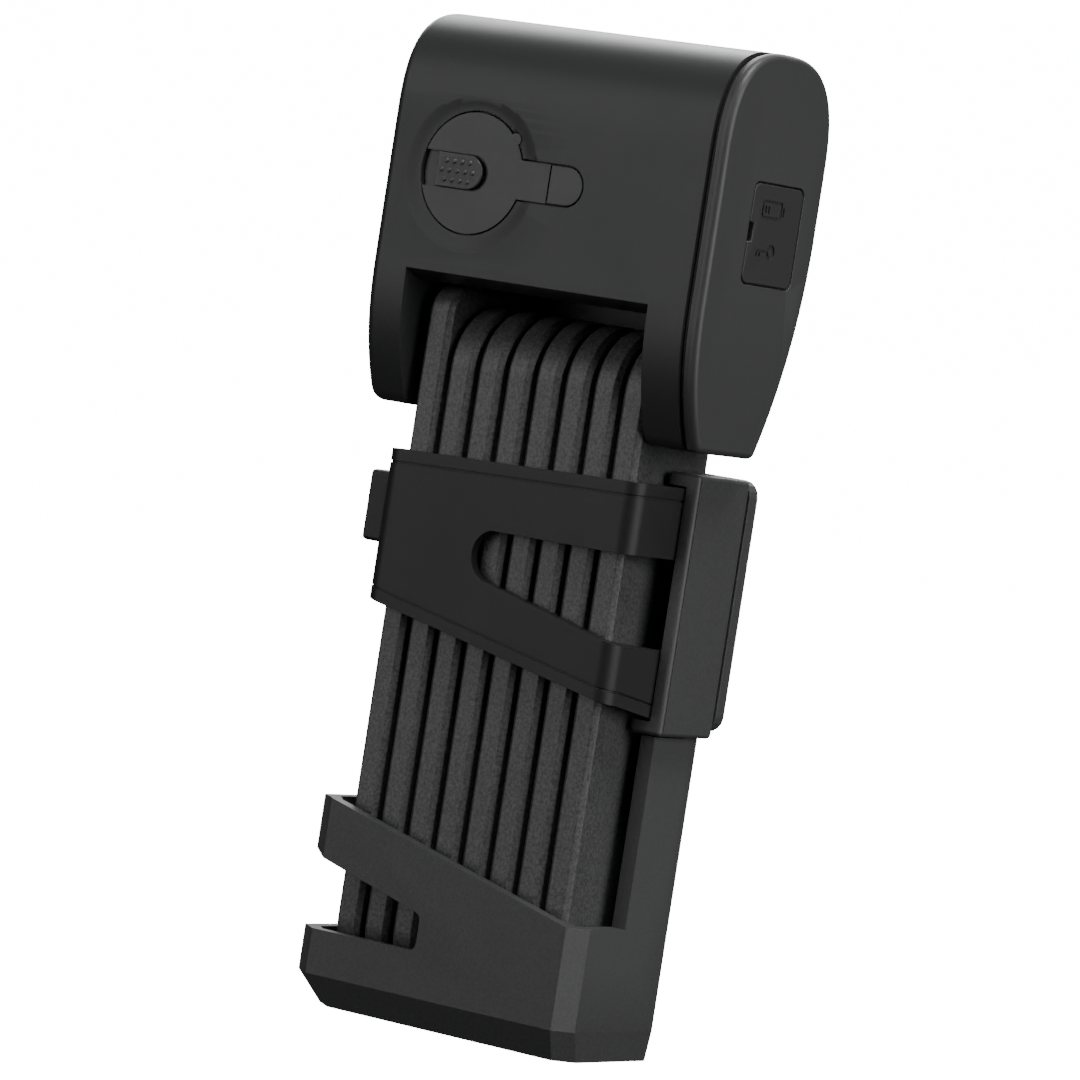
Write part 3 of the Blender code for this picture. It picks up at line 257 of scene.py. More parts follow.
SOFT_EDGES = {
    "holder_base": 0.4 * MM,
    "mount_plate": 0.4 * MM,
    "lower_spacer": 0.3 * MM,
    "mount_bolt_lower": 0.15 * MM,
    "mount_bolt_upper": 0.15 * MM,
    "strap_anchor_pin": 0.15 * MM,
    "head_pin": 0.15 * MM,
    "cap_seal": 0.1 * MM,
    "usb_socket": 0.1 * MM,
    "key_cylinder": 0.15 * MM,
    "key_plug": FINE_EDGE,
    "touch_sensor": 0.25 * MM,
    "circuit_board": 0.15 * MM,
    "battery": 0.8 * MM,
    "motor": 0.3 * MM,
    "lock_bolt": 0.25 * MM,
}
for joint_number in range(1, BAR_COUNT):
    SOFT_EDGES[f"rivet_{joint_number}"] = 0.2 * MM
    SOFT_EDGES[f"washer_{joint_number}"] = 0.1 * MM

# Camera, floor and lights
CAMERA_AZIMUTH = 34.07
CAMERA_ELEVATION = 2.342
CAMERA_ROLL = 8.781
CAMERA_DISTANCE = 1.1123
CAMERA_AIM = (-0.14 * MM, 0.44 * MM, 89.33 * MM)
CAMERA_LENS = 206.15
CAMERA_SENSOR = 36.0
FLOOR_RADIUS = 30.0
AMBIENT = 0.055
BACKDROP = 16.0
FLOOR_GLOW = 16.0
SOFTBOXES = (
    ("top", 66.0, 72.0, 0.8, (0.5, 0.16), 7.0),
    ("rim", -128.0, 40.0, 0.9, (0.5, 0.4), 4.4),
    ("over", 20.0, 60.0, 1.2, (0.9, 0.7), 0.6),
    ("front_left", -30.0, 12.0, 1.2, (0.8, 0.9), 5.4),
    ("right", 82.0, 14.0, 1.2, (0.8, 0.9), 12.6),
    ("back", 200.0, 35.0, 1.3, (0.8, 0.6), 7.0),
)


def from_bmesh(bm, name):
    """An object of the shape in bm, with its faces outward."""
    bmesh.ops.recalc_face_normals(bm, faces=bm.faces)
    mesh = bpy.data.meshes.new(name)
    bm.to_mesh(mesh)
    bm.free()
    made = bpy.data.objects.new(name, mesh)
    bpy.context.scene.collection.objects.link(made)
    return made


def block(name, low, high):
    """A box from corner low to corner high."""
    bm = bmesh.new()
    bmesh.ops.create_cube(bm, size=1.0)
    low, high = Vector(low), Vector(high)
    size = high - low
    bmesh.ops.scale(bm, vec=size, verts=bm.verts)
    bmesh.ops.translate(bm, vec=(low + high) / 2, verts=bm.verts)
    return from_bmesh(bm, name)


TURNS = {
    "X": Matrix.Rotation(math.pi / 2, 4, "Y"),
    "Y": Matrix.Rotation(-math.pi / 2, 4, "X"),
    "Z": Matrix.Identity(4),
}


def round_bar(name, axis, at, low, high, radius, top_radius=None, steps=40):
    """A cylinder or cone along an axis, from low to high, about the point at."""
    bm = bmesh.new()
    top = radius if top_radius is None else top_radius
    bmesh.ops.create_cone(
        bm,
        cap_ends=True,
        segments=steps,
        radius1=radius,
        radius2=top,
        depth=high - low,
        matrix=TURNS[axis],
    )
    centre = Vector(at)
    centre["XYZ".index(axis)] = (low + high) / 2
    bmesh.ops.translate(bm, vec=centre, verts=bm.verts)
    return from_bmesh(bm, name)


def placed(axis, along, across, up):
    """The point of an outline: across and up are the two other axes, in order."""
    if axis == "X":
        return (along, across, up)
    if axis == "Y":
        return (across, along, up)
    return (across, up, along)


def prism(name, axis, outline, low, high):
    """An outline extruded along an axis from low to high."""
    bm = bmesh.new()
    ring = [bm.verts.new(placed(axis, low, across, up)) for across, up in outline]
    face = bm.faces.new(ring)
    grown = bmesh.ops.extrude_face_region(bm, geom=[face])
    moved = [v for v in grown["geom"] if isinstance(v, bmesh.types.BMVert)]
    bmesh.ops.translate(bm, vec=placed(axis, high - low, 0, 0), verts=moved)
    return from_bmesh(bm, name)


def arc(centre_x, centre_y, radius, start, end, steps):
    """Points of an arc, angles in degrees."""
    points = []
    for i in range(steps + 1):
        angle = math.radians(start + (end - start) * i / steps)
        points.append((centre_x + radius * math.cos(angle), centre_y + radius * math.sin(angle)))
    return points


def rounded_box(left, right, low, high, radius, steps=4):
    """Outline of a rectangle with round corners."""
    return (
        arc(right - radius, low + radius, radius, -90, 0, steps)
        + arc(right - radius, high - radius, radius, 0, 90, steps)
        + arc(left + radius, high - radius, radius, 90, 180, steps)
        + arc(left + radius, low + radius, radius, 180, 270, steps)
    )


def apply_modifiers(target):
    """Replace an object's mesh by what its modifiers make of it."""
    graph = bpy.context.evaluated_depsgraph_get()
    mesh = bpy.data.meshes.new_from_object(target.evaluated_get(graph))
    target.modifiers.clear()
    target.data = mesh


def combine(target, others, operation):
    """Cut others from target, add them to it or keep what they share, and remove them."""
    for other in others:
        step = target.modifiers.new(operation.lower(), "BOOLEAN")
        step.operation = operation
        step.solver = "EXACT"
        step.object = other
        apply_modifiers(target)
        bpy.data.objects.remove(other)


def cut(target, *others):
    combine(target, others, "DIFFERENCE")


def add(target, *others):
    combine(target, others, "UNION")


def clean(target):
    """Merge doubled points and flat facets, so that edges can be rounded."""
    bm = bmesh.new()
    bm.from_mesh(target.data)
    bmesh.ops.remove_doubles(bm, verts=bm.verts, dist=0.00001)
    bmesh.ops.dissolve_limit(bm, angle_limit=math.radians(0.1), verts=bm.verts, edges=bm.edges)
    bm.to_mesh(target.data)
    bm.free()


def round_edges(target, width, segments=2, angle=35):
    """Round the edges sharper than angle."""
    step = target.modifiers.new("round_edges", "BEVEL")
    step.width = width
    step.segments = segments
    step.limit_method = "ANGLE"
    step.angle_limit = math.radians(angle)


def even_shading(target):
    """Keep flat faces flat beside rounded edges."""
    step = target.modifiers.new("even_shading", "WEIGHTED_NORMAL")
    step.keep_sharp = True


def piece(target, node, look, edge=0.0, segments=2, suffix="_skin", bend=None):
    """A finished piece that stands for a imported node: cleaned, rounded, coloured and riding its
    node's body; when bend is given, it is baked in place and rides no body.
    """
    clean(target)
    if edge:
        round_edges(target, edge, segments)
        apply_modifiers(target)
    target.name = node + suffix
    target.data.name = node + suffix
    target.data.materials.clear()
    target.data.materials.append(LOOKS[look])
    target.data.shade_smooth()
    target.data.set_sharp_from_angle(angle=math.radians(50))
    even_shading(target)
    if bend:
        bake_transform(target)
    else:
        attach(target, BODY_OF[node])
    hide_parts(node)
    return target


def bar_left(index):
    """The left face of a bar, counted from 1."""
    return BAR_LEFT + (index - 1) * BAR_PITCH


def inward(path, distance):
    """A path moved to its right-hand side by a distance."""
    moved = []
    for i, (x, y) in enumerate(path):
        before = path[max(i - 1, 0)]
        after = path[min(i + 1, len(path) - 1)]
        run = Vector((after[0] - before[0], after[1] - before[1])).normalized()
        moved.append((x + run.y * distance, y - run.x * distance))
    return moved


def strap_path():
    """The strap's outer line in plan, from its eye to its tail."""
    lean = math.degrees(
        math.atan2(STRAP_RIGHT_BACK - STRAP_RIGHT_FRONT, BLOCK_FRONT - STRAP_FRONT)
    )
    corner = STRAP_CORNER
    return (
        [(STRAP_RIGHT_BACK, EYE_Y), (STRAP_RIGHT_BACK, BLOCK_FRONT)]
        + arc(STRAP_RIGHT_FRONT - corner, STRAP_FRONT + corner, corner, -lean, -90, BEND_STEPS)
        + arc(STRAP_LEFT + corner, STRAP_FRONT + corner, corner, 270, 180, BEND_STEPS)
        + [(STRAP_LEFT, STRAP_TAIL_Y)]
    )


def strap_cutters():
    """What shapes the strap's edges and its slit."""
    out = THROUGH
    left = TAB_LEFT - out
    right = BLOCK_RIGHT + out
    front = STRAP_FRONT - out
    back = STRAP_TAIL_Y + out
    under = [
        (left, STRAP_LOW_RIGHT - 2 * out),
        (right, STRAP_LOW_RIGHT - 2 * out),
        (right, STRAP_LOW_RIGHT - STRAP_ROOT_DROP),
        (STRAP_RIGHT_BACK, STRAP_LOW_RIGHT - STRAP_ROOT_DROP),
        (STRAP_RIGHT_FRONT, STRAP_LOW_RIGHT),
        (STRAP_LEFT, STRAP_LOW_LEFT),
        (left, STRAP_LOW_LEFT),
    ]
    over = [
        (left, STRAP_TOP + out),
        (left, STRAP_TOP_LEFT),
        (STRAP_LEFT, STRAP_TOP_LEFT),
        (STRAP_RIGHT_FRONT, STRAP_TOP),
        (right, STRAP_TOP),
        (right, STRAP_TOP + out),
    ]
    nose = (SLIT_TOP - SLIT_LOW_LEFT) / 2
    slit = (
        arc(SLIT_LEFT + nose, SLIT_TOP - nose, nose, 105, 255, 2 * BEND_STEPS)
        + [(STRAP_RIGHT_FRONT, SLIT_LOW_RIGHT), (right, SLIT_LOW_RIGHT), (right, SLIT_TOP)]
    )
    return (
        prism("strap_under", "Y", under, front, back),
        prism("strap_over", "Y", over, front, back),
        prism("strap_slit", "Y", slit, front, back),
    )


def head_outline(front, back, top, low):
    """The head's side profile in Y and Z: flat front, crowned top, tucked-in bottom."""
    points = []
    for i in range(HEAD_SIDE_STEPS + 1):
        z = low + (HEAD_FRONT_BEND_Z - low) * i / HEAD_SIDE_STEPS
        if z < HEAD_FRONT_BEND_Z or not points:
            drop = (HEAD_FRONT_BEND_Z - z) / (HEAD_FRONT_BEND_Z - HEAD_LOW_Z)
            points.append((front + HEAD_FRONT_TUCK * max(drop, 0) ** HEAD_FRONT_POWER, z))
    middle = (front + back) / 2
    half = (back - front) / 2
    rise = top - HEAD_CROWN_Z
    for i in range(HEAD_CROWN_STEPS + 1):
        angle = math.pi - math.pi * i / HEAD_CROWN_STEPS
        share = 2 / HEAD_CROWN_POWER
        across = abs(math.cos(angle)) ** share * math.copysign(1, math.cos(angle))
        points.append((middle + half * across, HEAD_CROWN_Z + rise * math.sin(angle) ** share))
    for i in range(1, HEAD_SIDE_STEPS + 1):
        z = HEAD_BACK_BEND_Z + (low - HEAD_BACK_BEND_Z) * i / HEAD_SIDE_STEPS
        drop = (HEAD_BACK_BEND_Z - z) / (HEAD_BACK_BEND_Z - HEAD_LOW_Z)
        points.append((back - HEAD_BACK_TUCK * drop**HEAD_BACK_POWER, z))
    return points


def inset_outline(outline, distance):
    """An outline moved inward by a distance; the outline runs clockwise in Y and Z."""
    moved = []
    count = len(outline)
    for i, (x, y) in enumerate(outline):
        before = Vector(outline[i - 1])
        after = Vector(outline[(i + 1) % count])
        here = Vector((x, y))
        first = (here - before).normalized()
        second = (after - here).normalized()
        normal = Vector((first.y + second.y, -first.x - second.x))
        normal.normalize()
        lean = max(normal.dot(Vector((first.y, -first.x))), 0.5)
        moved.append((x + normal.x * distance / lean, y + normal.y * distance / lean))
    return moved


def outer_profile():
    return head_outline(HEAD_FRONT, HEAD_BACK, HEAD_TOP_Z, HEAD_LOW_Z)


def chamber_outline():
    """The inside of the head above its floor."""
    full = head_outline(
        HEAD_FRONT + HEAD_FRONT_WALL,
        HEAD_BACK - HEAD_WALL,
        HEAD_TOP_Z - HEAD_WALL,
        HEAD_LOW_Z,
    )
    top = [(y, z) for y, z in full if z > CHAMBER_LOW_Z]
    first = (top[0][0], CHAMBER_LOW_Z)
    last = (top[-1][0] - FIT, CHAMBER_LOW_Z)
    return [first, *top, last]


def cover_outline(radius, half, right, round_right):
    """A disc with an arm to its right, in X and Z."""
    meet = math.degrees(math.asin(half / radius))
    disc = arc(COVER_X, COVER_Z, radius, meet, 360 - meet, 72)
    if round_right:
        end = arc(right - half, COVER_Z, half, -90, 90, 24)
    else:
        end = [(right, COVER_Z - half), (right, COVER_Z + half)]
    return disc + end


def slot_cutters():
    """The slot for the bars, with its lead-in and the room for the first bar's end."""
    front = HEAD_FRONT - THROUGH
    back = HEAD_BACK + THROUGH
    low = HEAD_LOW_Z - THROUGH
    slot = block("slot", (SLOT_LEFT, front, low), (SLOT_RIGHT, SLOT_BACK, SLOT_TOP_Z))
    behind = SLOT_BACK - FIT
    rear = block("slot_rear", (SLOT_LEFT, behind, low), (SLOT_RIGHT, back, BACK_LIP_Z))
    right = PIVOT_ROOM_RIGHT
    way = block("pivot_way", (SLOT_LEFT, behind, low), (right, back, WAY_TOP_Z))
    relief = block("way_relief", (SLOT_LEFT, behind, low), (right, WAY_BACK, SLOT_TOP_Z))
    lead = prism(
        "slot_lead",
        "X",
        [
            (front, SLOT_TOP_Z - THROUGH),
            (front, SLOT_LIP_Z),
            (HEAD_FRONT, SLOT_LIP_Z),
            (HEAD_FRONT + SLOT_LIP_DEEP, SLOT_TOP_Z),
            (HEAD_FRONT + SLOT_LIP_DEEP, SLOT_TOP_Z - THROUGH),
        ],
        SLOT_LEFT,
        SLOT_RIGHT,
    )
    room = block(
        "pivot_room",
        (SLOT_LEFT, BAR_MID_Y - PIVOT_ROOM_HALF, SLOT_TOP_Z - THROUGH),
        (PIVOT_ROOM_RIGHT, BAR_MID_Y + PIVOT_ROOM_HALF, PIVOT_ROOM_TOP),
    )
    return slot, rear, way, relief, lead, room


def loft(name, rings):
    """A solid through closed rings of equal length, capped at both ends."""
    bm = bmesh.new()
    rows = [[bm.verts.new(point) for point in ring] for ring in rings]
    count = len(rows[0])
    for lower, upper in zip(rows, rows[1:]):
        for i in range(count):
            bm.faces.new((lower[i - 1], lower[i], upper[i], upper[i - 1]))
    bm.faces.new(rows[0])
    bm.faces.new(rows[-1])
    return from_bmesh(bm, name)


def flap_outline(grow):
    sides = (FLAP_FRONT - grow, FLAP_BACK + grow)
    return rounded_box(*sides, FLAP_LOW_Z - grow, FLAP_HIGH_Z + grow, FLAP_CORNER, steps=10)


# Looks: colour, roughness, metallic, grain size, bump depth, speckle and painted edge highlight


def add_node(tree, kind, place, **values):
    """A shader node with its settings."""
    made = tree.nodes.new("ShaderNode" + kind)
    made.location = place
    for key, value in values.items():
        setattr(made, key, value)
    return made


def noise(tree, where, size, detail, place):
    """Noise of a grain size in metres."""
    made = add_node(tree, "TexNoise", place)
    made.inputs["Scale"].default_value = 1.0 / size
    made.inputs["Detail"].default_value = detail
    made.inputs["Roughness"].default_value = 0.6
    tree.links.new(where, made.inputs["Vector"])
    return made.outputs["Fac"]


def spread(tree, value, low_in, high_in, low_out, high_out, place):
    """A value moved from one range to another."""
    made = add_node(tree, "MapRange", place)
    made.inputs["From Min"].default_value = low_in
    made.inputs["From Max"].default_value = high_in
    made.inputs["To Min"].default_value = low_out
    made.inputs["To Max"].default_value = high_out
    tree.links.new(value, made.inputs["Value"])
    return made.outputs["Result"]


def blended(tree, share, first, second, place):
    """A colour between two, by share."""
    made = add_node(tree, "Mix", place, data_type="RGBA")
    tree.links.new(share, made.inputs["Factor"])
    for socket, colour in ((made.inputs[6], first), (made.inputs[7], second)):
        if isinstance(colour, tuple):
            socket.default_value = (*colour, 1.0)
        else:
            tree.links.new(colour, socket)
    return made.outputs[2]


def tone(colour, factor):
    return tuple(min(1.0, channel * factor) for channel in colour)


def make_look(name, colour, rough, metal=0.0, grain=0.35, depth=0.02, speckle=0.15, edge_highlight=0.5,
              stretch=(1.0, 1.0, 1.0), specular=0.5, coat=0.0):
    """A procedural finish: fine grain, broad blotches, rough variation and a painted highlight that
    makes sharp edges lighter.
    """
    made = bpy.data.materials.new(name)
    made.use_nodes = True
    tree = made.node_tree
    shader = tree.nodes["Principled BSDF"]
    where = add_node(tree, "TexCoord", (-1400, 0)).outputs["Object"]
    mapping = add_node(tree, "Mapping", (-1200, 0))
    mapping.inputs["Scale"].default_value = stretch
    tree.links.new(where, mapping.inputs["Vector"])
    fine = noise(tree, mapping.outputs["Vector"], grain * MM, 4.0, (-1000, 200))
    broad = noise(tree, where, 9.0 * MM, 3.0, (-1000, -100))
    grains = spread(tree, fine, 0.35, 0.65, 0.0, 1.0, (-800, 200))
    speckled = blended(tree, grains, tone(colour, 1 - speckle), tone(colour, 1 + speckle), (-600, 300))
    blotch = spread(tree, broad, 0.3, 0.7, 0.0, 0.12, (-800, -50))
    mixed = blended(tree, blotch, speckled, tone(colour, 0.8), (-400, 250))
    geometry = add_node(tree, "NewGeometry", (-1000, 500))
    # painted highlight: sharp convex edges are made lighter, up to 1.9 times the colour, standing in
    # for light caught on the edges
    edges = spread(tree, geometry.outputs["Pointiness"], 0.51, 0.6, 0.0, edge_highlight, (-600, 550))
    highlit_edges = blended(tree, edges, mixed, tone(colour, 1.9), (-200, 300))
    tree.links.new(highlit_edges, shader.inputs["Base Color"])
    roughness = spread(tree, broad, 0.3, 0.7, rough - 0.012, rough + 0.012, (-600, -150))
    tree.links.new(roughness, shader.inputs["Roughness"])
    bump = add_node(tree, "Bump", (-300, -300))
    bump.inputs["Strength"].default_value = 0.6
    bump.inputs["Distance"].default_value = depth * MM
    tree.links.new(fine, bump.inputs["Height"])
    tree.links.new(bump.outputs["Normal"], shader.inputs["Normal"])
    shader.inputs["Metallic"].default_value = metal
    shader.inputs["Specular IOR Level"].default_value = specular
    shader.inputs["Coat Weight"].default_value = coat
    return made


# In each look, the edge setting sets how strongly its sharp edges are painted lighter as a highlight.
LOOKS = {
    "shell": make_look("shell_plastic", (0.021, 0.0213, 0.022), 0.4, grain=0.3, depth=0.006,
                       speckle=0.06, edge_highlight=0.35, specular=0.27),
    "holster": make_look("holster_plastic", (0.037, 0.0375, 0.0385), 0.55, grain=0.42, depth=0.035,
                         speckle=0.22, edge_highlight=0.45),
    "rubber": make_look("rubber", (0.0085, 0.0085, 0.0088), 0.5, grain=0.25, depth=0.004,
                        speckle=0.08, edge_highlight=0.25, specular=0.35),
    "bar": make_look("bar_coating", (0.046, 0.0465, 0.0475), 0.46, grain=0.55, depth=0.07,
                     speckle=0.65, edge_highlight=0.8),
    "steel": make_look("steel", (0.5, 0.5, 0.51), 0.32, metal=1.0, grain=0.15, depth=0.003,
                       speckle=0.08, edge_highlight=0.2, stretch=(0.15, 1.0, 1.0)),
    "dark_steel": make_look("dark_steel", (0.11, 0.11, 0.12), 0.4, metal=1.0, grain=0.15,
                            depth=0.003, speckle=0.12, edge_highlight=0.4, stretch=(0.15, 1.0, 1.0)),
    "nylon": make_look("nylon", (0.03, 0.03, 0.031), 0.5, grain=0.3, depth=0.006, speckle=0.1),
    "board": make_look("board", (0.015, 0.07, 0.03), 0.4, grain=1.2, depth=0.01, speckle=0.35,
                       coat=0.3),
    "cell": make_look("cell_wrap", (0.05, 0.09, 0.2), 0.35, grain=0.8, depth=0.004, speckle=0.08),
    "glass": make_look("sensor_glass", (0.008, 0.008, 0.011), 0.14, grain=0.5, depth=0.001,
                       speckle=0.1, coat=0.6),
    "cap": make_look("cap_plastic", (0.035, 0.0355, 0.0365), 0.5, grain=0.3, depth=0.006,
                     speckle=0.06, edge_highlight=0.35),
    "flap": make_look("flap_rubber", (0.022, 0.022, 0.0225), 0.55, grain=0.25, depth=0.004,
                      speckle=0.08, edge_highlight=0.25),
    "cover": make_look("cover_rubber", (0.021, 0.0213, 0.022), 0.46, grain=0.25, depth=0.004,
                       speckle=0.06, edge_highlight=0.3),
}

BODY_OF = {}
for body_name, members in frame["record"]["behaviour"]["bodies"].items():
    for member in members:
        BODY_OF[member] = body_name
SLOT_OF = {entry["node"]: entry["material_slot"] for entry in frame["record"]["subparts"]}


def bar_outline(square_top):
    """A bar's outline in Y and Z: round ends, or a squarer top for the head bar."""
    foot = arc(BAR_MID_Y, PIN_LOW_Z, BAR_RADIUS, 180, 360, END_STEPS)
    if not square_top:
        return foot + arc(BAR_MID_Y, PIN_HIGH_Z, BAR_RADIUS, 0, 180, END_STEPS)
    side = BAR_RADIUS - HEAD_BAR_CORNER
    top = HEAD_BAR_TOP - HEAD_BAR_CORNER
    right = arc(BAR_MID_Y + side, top, HEAD_BAR_CORNER, 0, 90, END_STEPS // 2)
    left = arc(BAR_MID_Y - side, top, HEAD_BAR_CORNER, 90, 180, END_STEPS // 2)
    return foot + right + left


def make_bar(index):
    """One bar, chamfered all round, with a hole at each end."""
    left = bar_left(index)
    bar = prism("bar", "X", bar_outline(index == 1), left, left + BAR_THICK)
    round_edges(bar, BAR_CHAMFER, segments=1)
    apply_modifiers(bar)
    for height in (PIN_LOW_Z, PIN_HIGH_Z):
        at = (0, BAR_MID_Y, height)
        right = left + BAR_THICK + THROUGH
        cut(bar, round_bar("bar_hole", "X", at, left - THROUGH, right, RIVET_RADIUS + FIT))
    piece(bar, f"link_{index}", "bar", edge=BAR_EDGE)


def make_block():
    """The clamp block, open to the front and left, with its parting line."""
    body = block(
        "clamp",
        (BLOCK_LEFT, BLOCK_FRONT, BLOCK_LOW_Z),
        (BLOCK_RIGHT, BLOCK_BACK, WALL_TOP),
    )
    plate = block(
        "clamp_side",
        (BLOCK_PLATE_LEFT, BLOCK_FRONT + THROUGH, BLOCK_LOW_Z),
        (BLOCK_RIGHT, CUP_BACK, WALL_TOP),
    )
    for half in (body, plate):
        round_edges(half, BLOCK_ROUND, segments=3)
        apply_modifiers(half)
    add(body, plate)
    mouth = block(
        "mouth",
        (BLOCK_LEFT - THROUGH, BLOCK_FRONT - THROUGH, BLOCK_MOUTH_LOW),
        (BLOCK_MOUTH_RIGHT, BLOCK_MOUTH_BACK, BLOCK_MOUTH_HIGH),
    )
    pin_hole = round_bar(
        "pin_hole",
        "Z",
        (EYE_X, EYE_Y, 0),
        BLOCK_LOW_Z + FIT,
        WALL_TOP + THROUGH,
        EYE_PIN_RADIUS + FIT,
    )
    line_front = BLOCK_FRONT + BLOCK_ROUND
    parting = block(
        "parting",
        (BLOCK_RIGHT - PARTING_DEEP, line_front, BLOCK_LOW_Z - THROUGH),
        (BLOCK_RIGHT + THROUGH, line_front + PARTING_WIDE, WALL_TOP + THROUGH),
    )
    cut(body, mouth, pin_hole, parting)
    piece(body, "clamp_block", "holster", edge=0.15 * MM)


def strap_groove(line):
    """A cutter for a groove in the strap's face that follows a line in X and Z."""
    half = GROOVE_WIDE / 2
    outline = [(x, z - half) for x, z in line] + [(x, z + half) for x, z in reversed(line)]
    slab = prism("groove_slab", "Y", outline, STRAP_FRONT - THROUGH, STRAP_TAIL_Y + THROUGH)
    outer = inward(strap_path(), -THROUGH / 5)
    inner = inward(strap_path(), GROOVE_DEEP)
    low_z = STRAP_LOW_RIGHT - THROUGH
    band = prism("groove_band", "Z", outer + inner[::-1], low_z, STRAP_TOP + THROUGH)
    combine(slab, [band], "INTERSECT")
    return slab


def slice_across(target, front, back, step):
    """Extra loops at even steps along Y, so that the flat sides can bend there."""
    bm = bmesh.new()
    bm.from_mesh(target.data)
    for index in range(round((back - front) / step) + 1):
        every = bm.verts[:] + bm.edges[:] + bm.faces[:]
        at = (0, front + index * step, 0)
        bmesh.ops.bisect_plane(bm, geom=every, plane_co=at, plane_no=(0, 1, 0))
    bm.to_mesh(target.data)
    bm.free()


def make_strap():
    """The rubber strap: eye, pull tab, hook hole, slit and the grooves along its edges."""
    outer = strap_path()
    inner = inward(outer, STRAP_THICK)
    bottom = STRAP_LOW_RIGHT - THROUGH
    top = STRAP_TOP + THROUGH / 2
    body = prism("strap", "Z", outer + inner[::-1], bottom, top)
    tab = block(
        "tab",
        (TAB_LEFT, TAB_FRONT, TAB_LOW_Z),
        (STRAP_LEFT + STRAP_THICK / 2, TAB_BACK, TAB_HIGH_Z),
    )
    round_edges(tab, BLOCK_ROUND, segments=3)
    apply_modifiers(tab)
    add(body, round_bar("eye", "Z", (EYE_X, EYE_Y, 0), bottom, top, EYE_RADIUS))
    cut(body, *strap_cutters())
    add(body, tab)
    far_left = STRAP_LEFT - THROUGH
    far_right = STRAP_RIGHT_BACK + THROUGH
    upper = [
        (far_left, STRAP_TOP_LEFT - GROOVE_INSET),
        (STRAP_LEFT, STRAP_TOP_LEFT - GROOVE_INSET),
        (STRAP_RIGHT_FRONT, STRAP_TOP - GROOVE_INSET),
        (far_right, STRAP_TOP - GROOVE_INSET),
    ]
    lower = [
        (far_left, STRAP_LOW_LEFT + GROOVE_INSET),
        (STRAP_LEFT, STRAP_LOW_LEFT + GROOVE_INSET),
        (STRAP_RIGHT_FRONT, STRAP_LOW_RIGHT + GROOVE_INSET),
        (STRAP_RIGHT_BACK, STRAP_LOW_RIGHT + GROOVE_INSET - STRAP_ROOT_DROP),
        (far_right, STRAP_LOW_RIGHT + GROOVE_INSET - STRAP_ROOT_DROP),
    ]
    cut(body, strap_groove(upper), strap_groove(lower))
    eye_hole = round_bar(
        "eye_hole",
        "Z",
        (EYE_X, EYE_Y, 0),
        bottom - THROUGH,
        top + THROUGH,
        EYE_PIN_RADIUS + FIT,
    )
    catch = block(
        "catch",
        (STRAP_LEFT - THROUGH, HOOK_FRONT - FIT, HOOK_LOW_Z - FIT),
        (STRAP_LEFT + STRAP_THICK + THROUGH, HOOK_BACK + FIT, HOOK_HIGH_Z + FIT),
    )
    cut(body, eye_hole, catch)
    bend = (
        (STRAP_RIGHT_FRONT + BEND_SHIFT, BLOCK_FRONT - FIT, 0),
        (STRAP_RIGHT_FRONT - BEND_SHIFT * 4, BLOCK_FRONT - BEND_LONG, 0),
    )
    round_edges(body, FINE_EDGE)
    apply_modifiers(body)
    slice_across(body, BLOCK_FRONT - BEND_LONG - BEND_STEP * 3, BLOCK_FRONT, BEND_STEP)
    piece(body, "strap", "rubber", bend=bend)


def dish():
    """A cutter for the shallow dish round the cover, deepest at the cover's edge."""
    rings = []
    flat = COVER_RADIUS + FIT
    spans = [(DISH_RIM + 2 * MM, HEAD_FRONT - THROUGH)]
    for i in range(DISH_STEPS + 1):
        share = i / DISH_STEPS
        radius = DISH_RIM + (flat - DISH_RIM) * share
        depth = DISH_DEEP * (1 - math.cos(math.pi * share)) / 2
        spans.append((radius, HEAD_FRONT - FIT / 10 + depth))
    for radius, y in spans:
        circle = arc(COVER_X, COVER_Z, radius, 0, 360, 72)[:-1]
        rings.append([(x, y, z) for x, z in circle])
    return loft("dish", rings)


def cover_nub(front, back, radius):
    """The small bump on the rim of the cover's disc."""
    turn = math.radians(NUB_TURN)
    x = COVER_X + COVER_RADIUS * math.cos(turn)
    z = COVER_Z + COVER_RADIUS * math.sin(turn)
    return round_bar("nub", "Y", (x, 0, z), front, back, radius)


def cover_seat():
    """Cutters for the cover's seat, its notch and the sensor's window."""
    at = (COVER_X, 0, COVER_Z)
    outline = cover_outline(COVER_RADIUS + FIT, ARM_HALF + FIT, TETHER_RIGHT + FIT, True)
    seat = prism("cover_seat", "Y", outline, HEAD_FRONT - THROUGH, POCKET_BACK)
    nub = cover_nub(HEAD_FRONT - THROUGH, POCKET_BACK, NUB_RADIUS)
    back = HEAD_FRONT + HEAD_FRONT_WALL + FIT
    window = round_bar("window", "Y", at, POCKET_BACK - FIT, back, SENSOR_RADIUS + FIT)
    return seat, nub, window


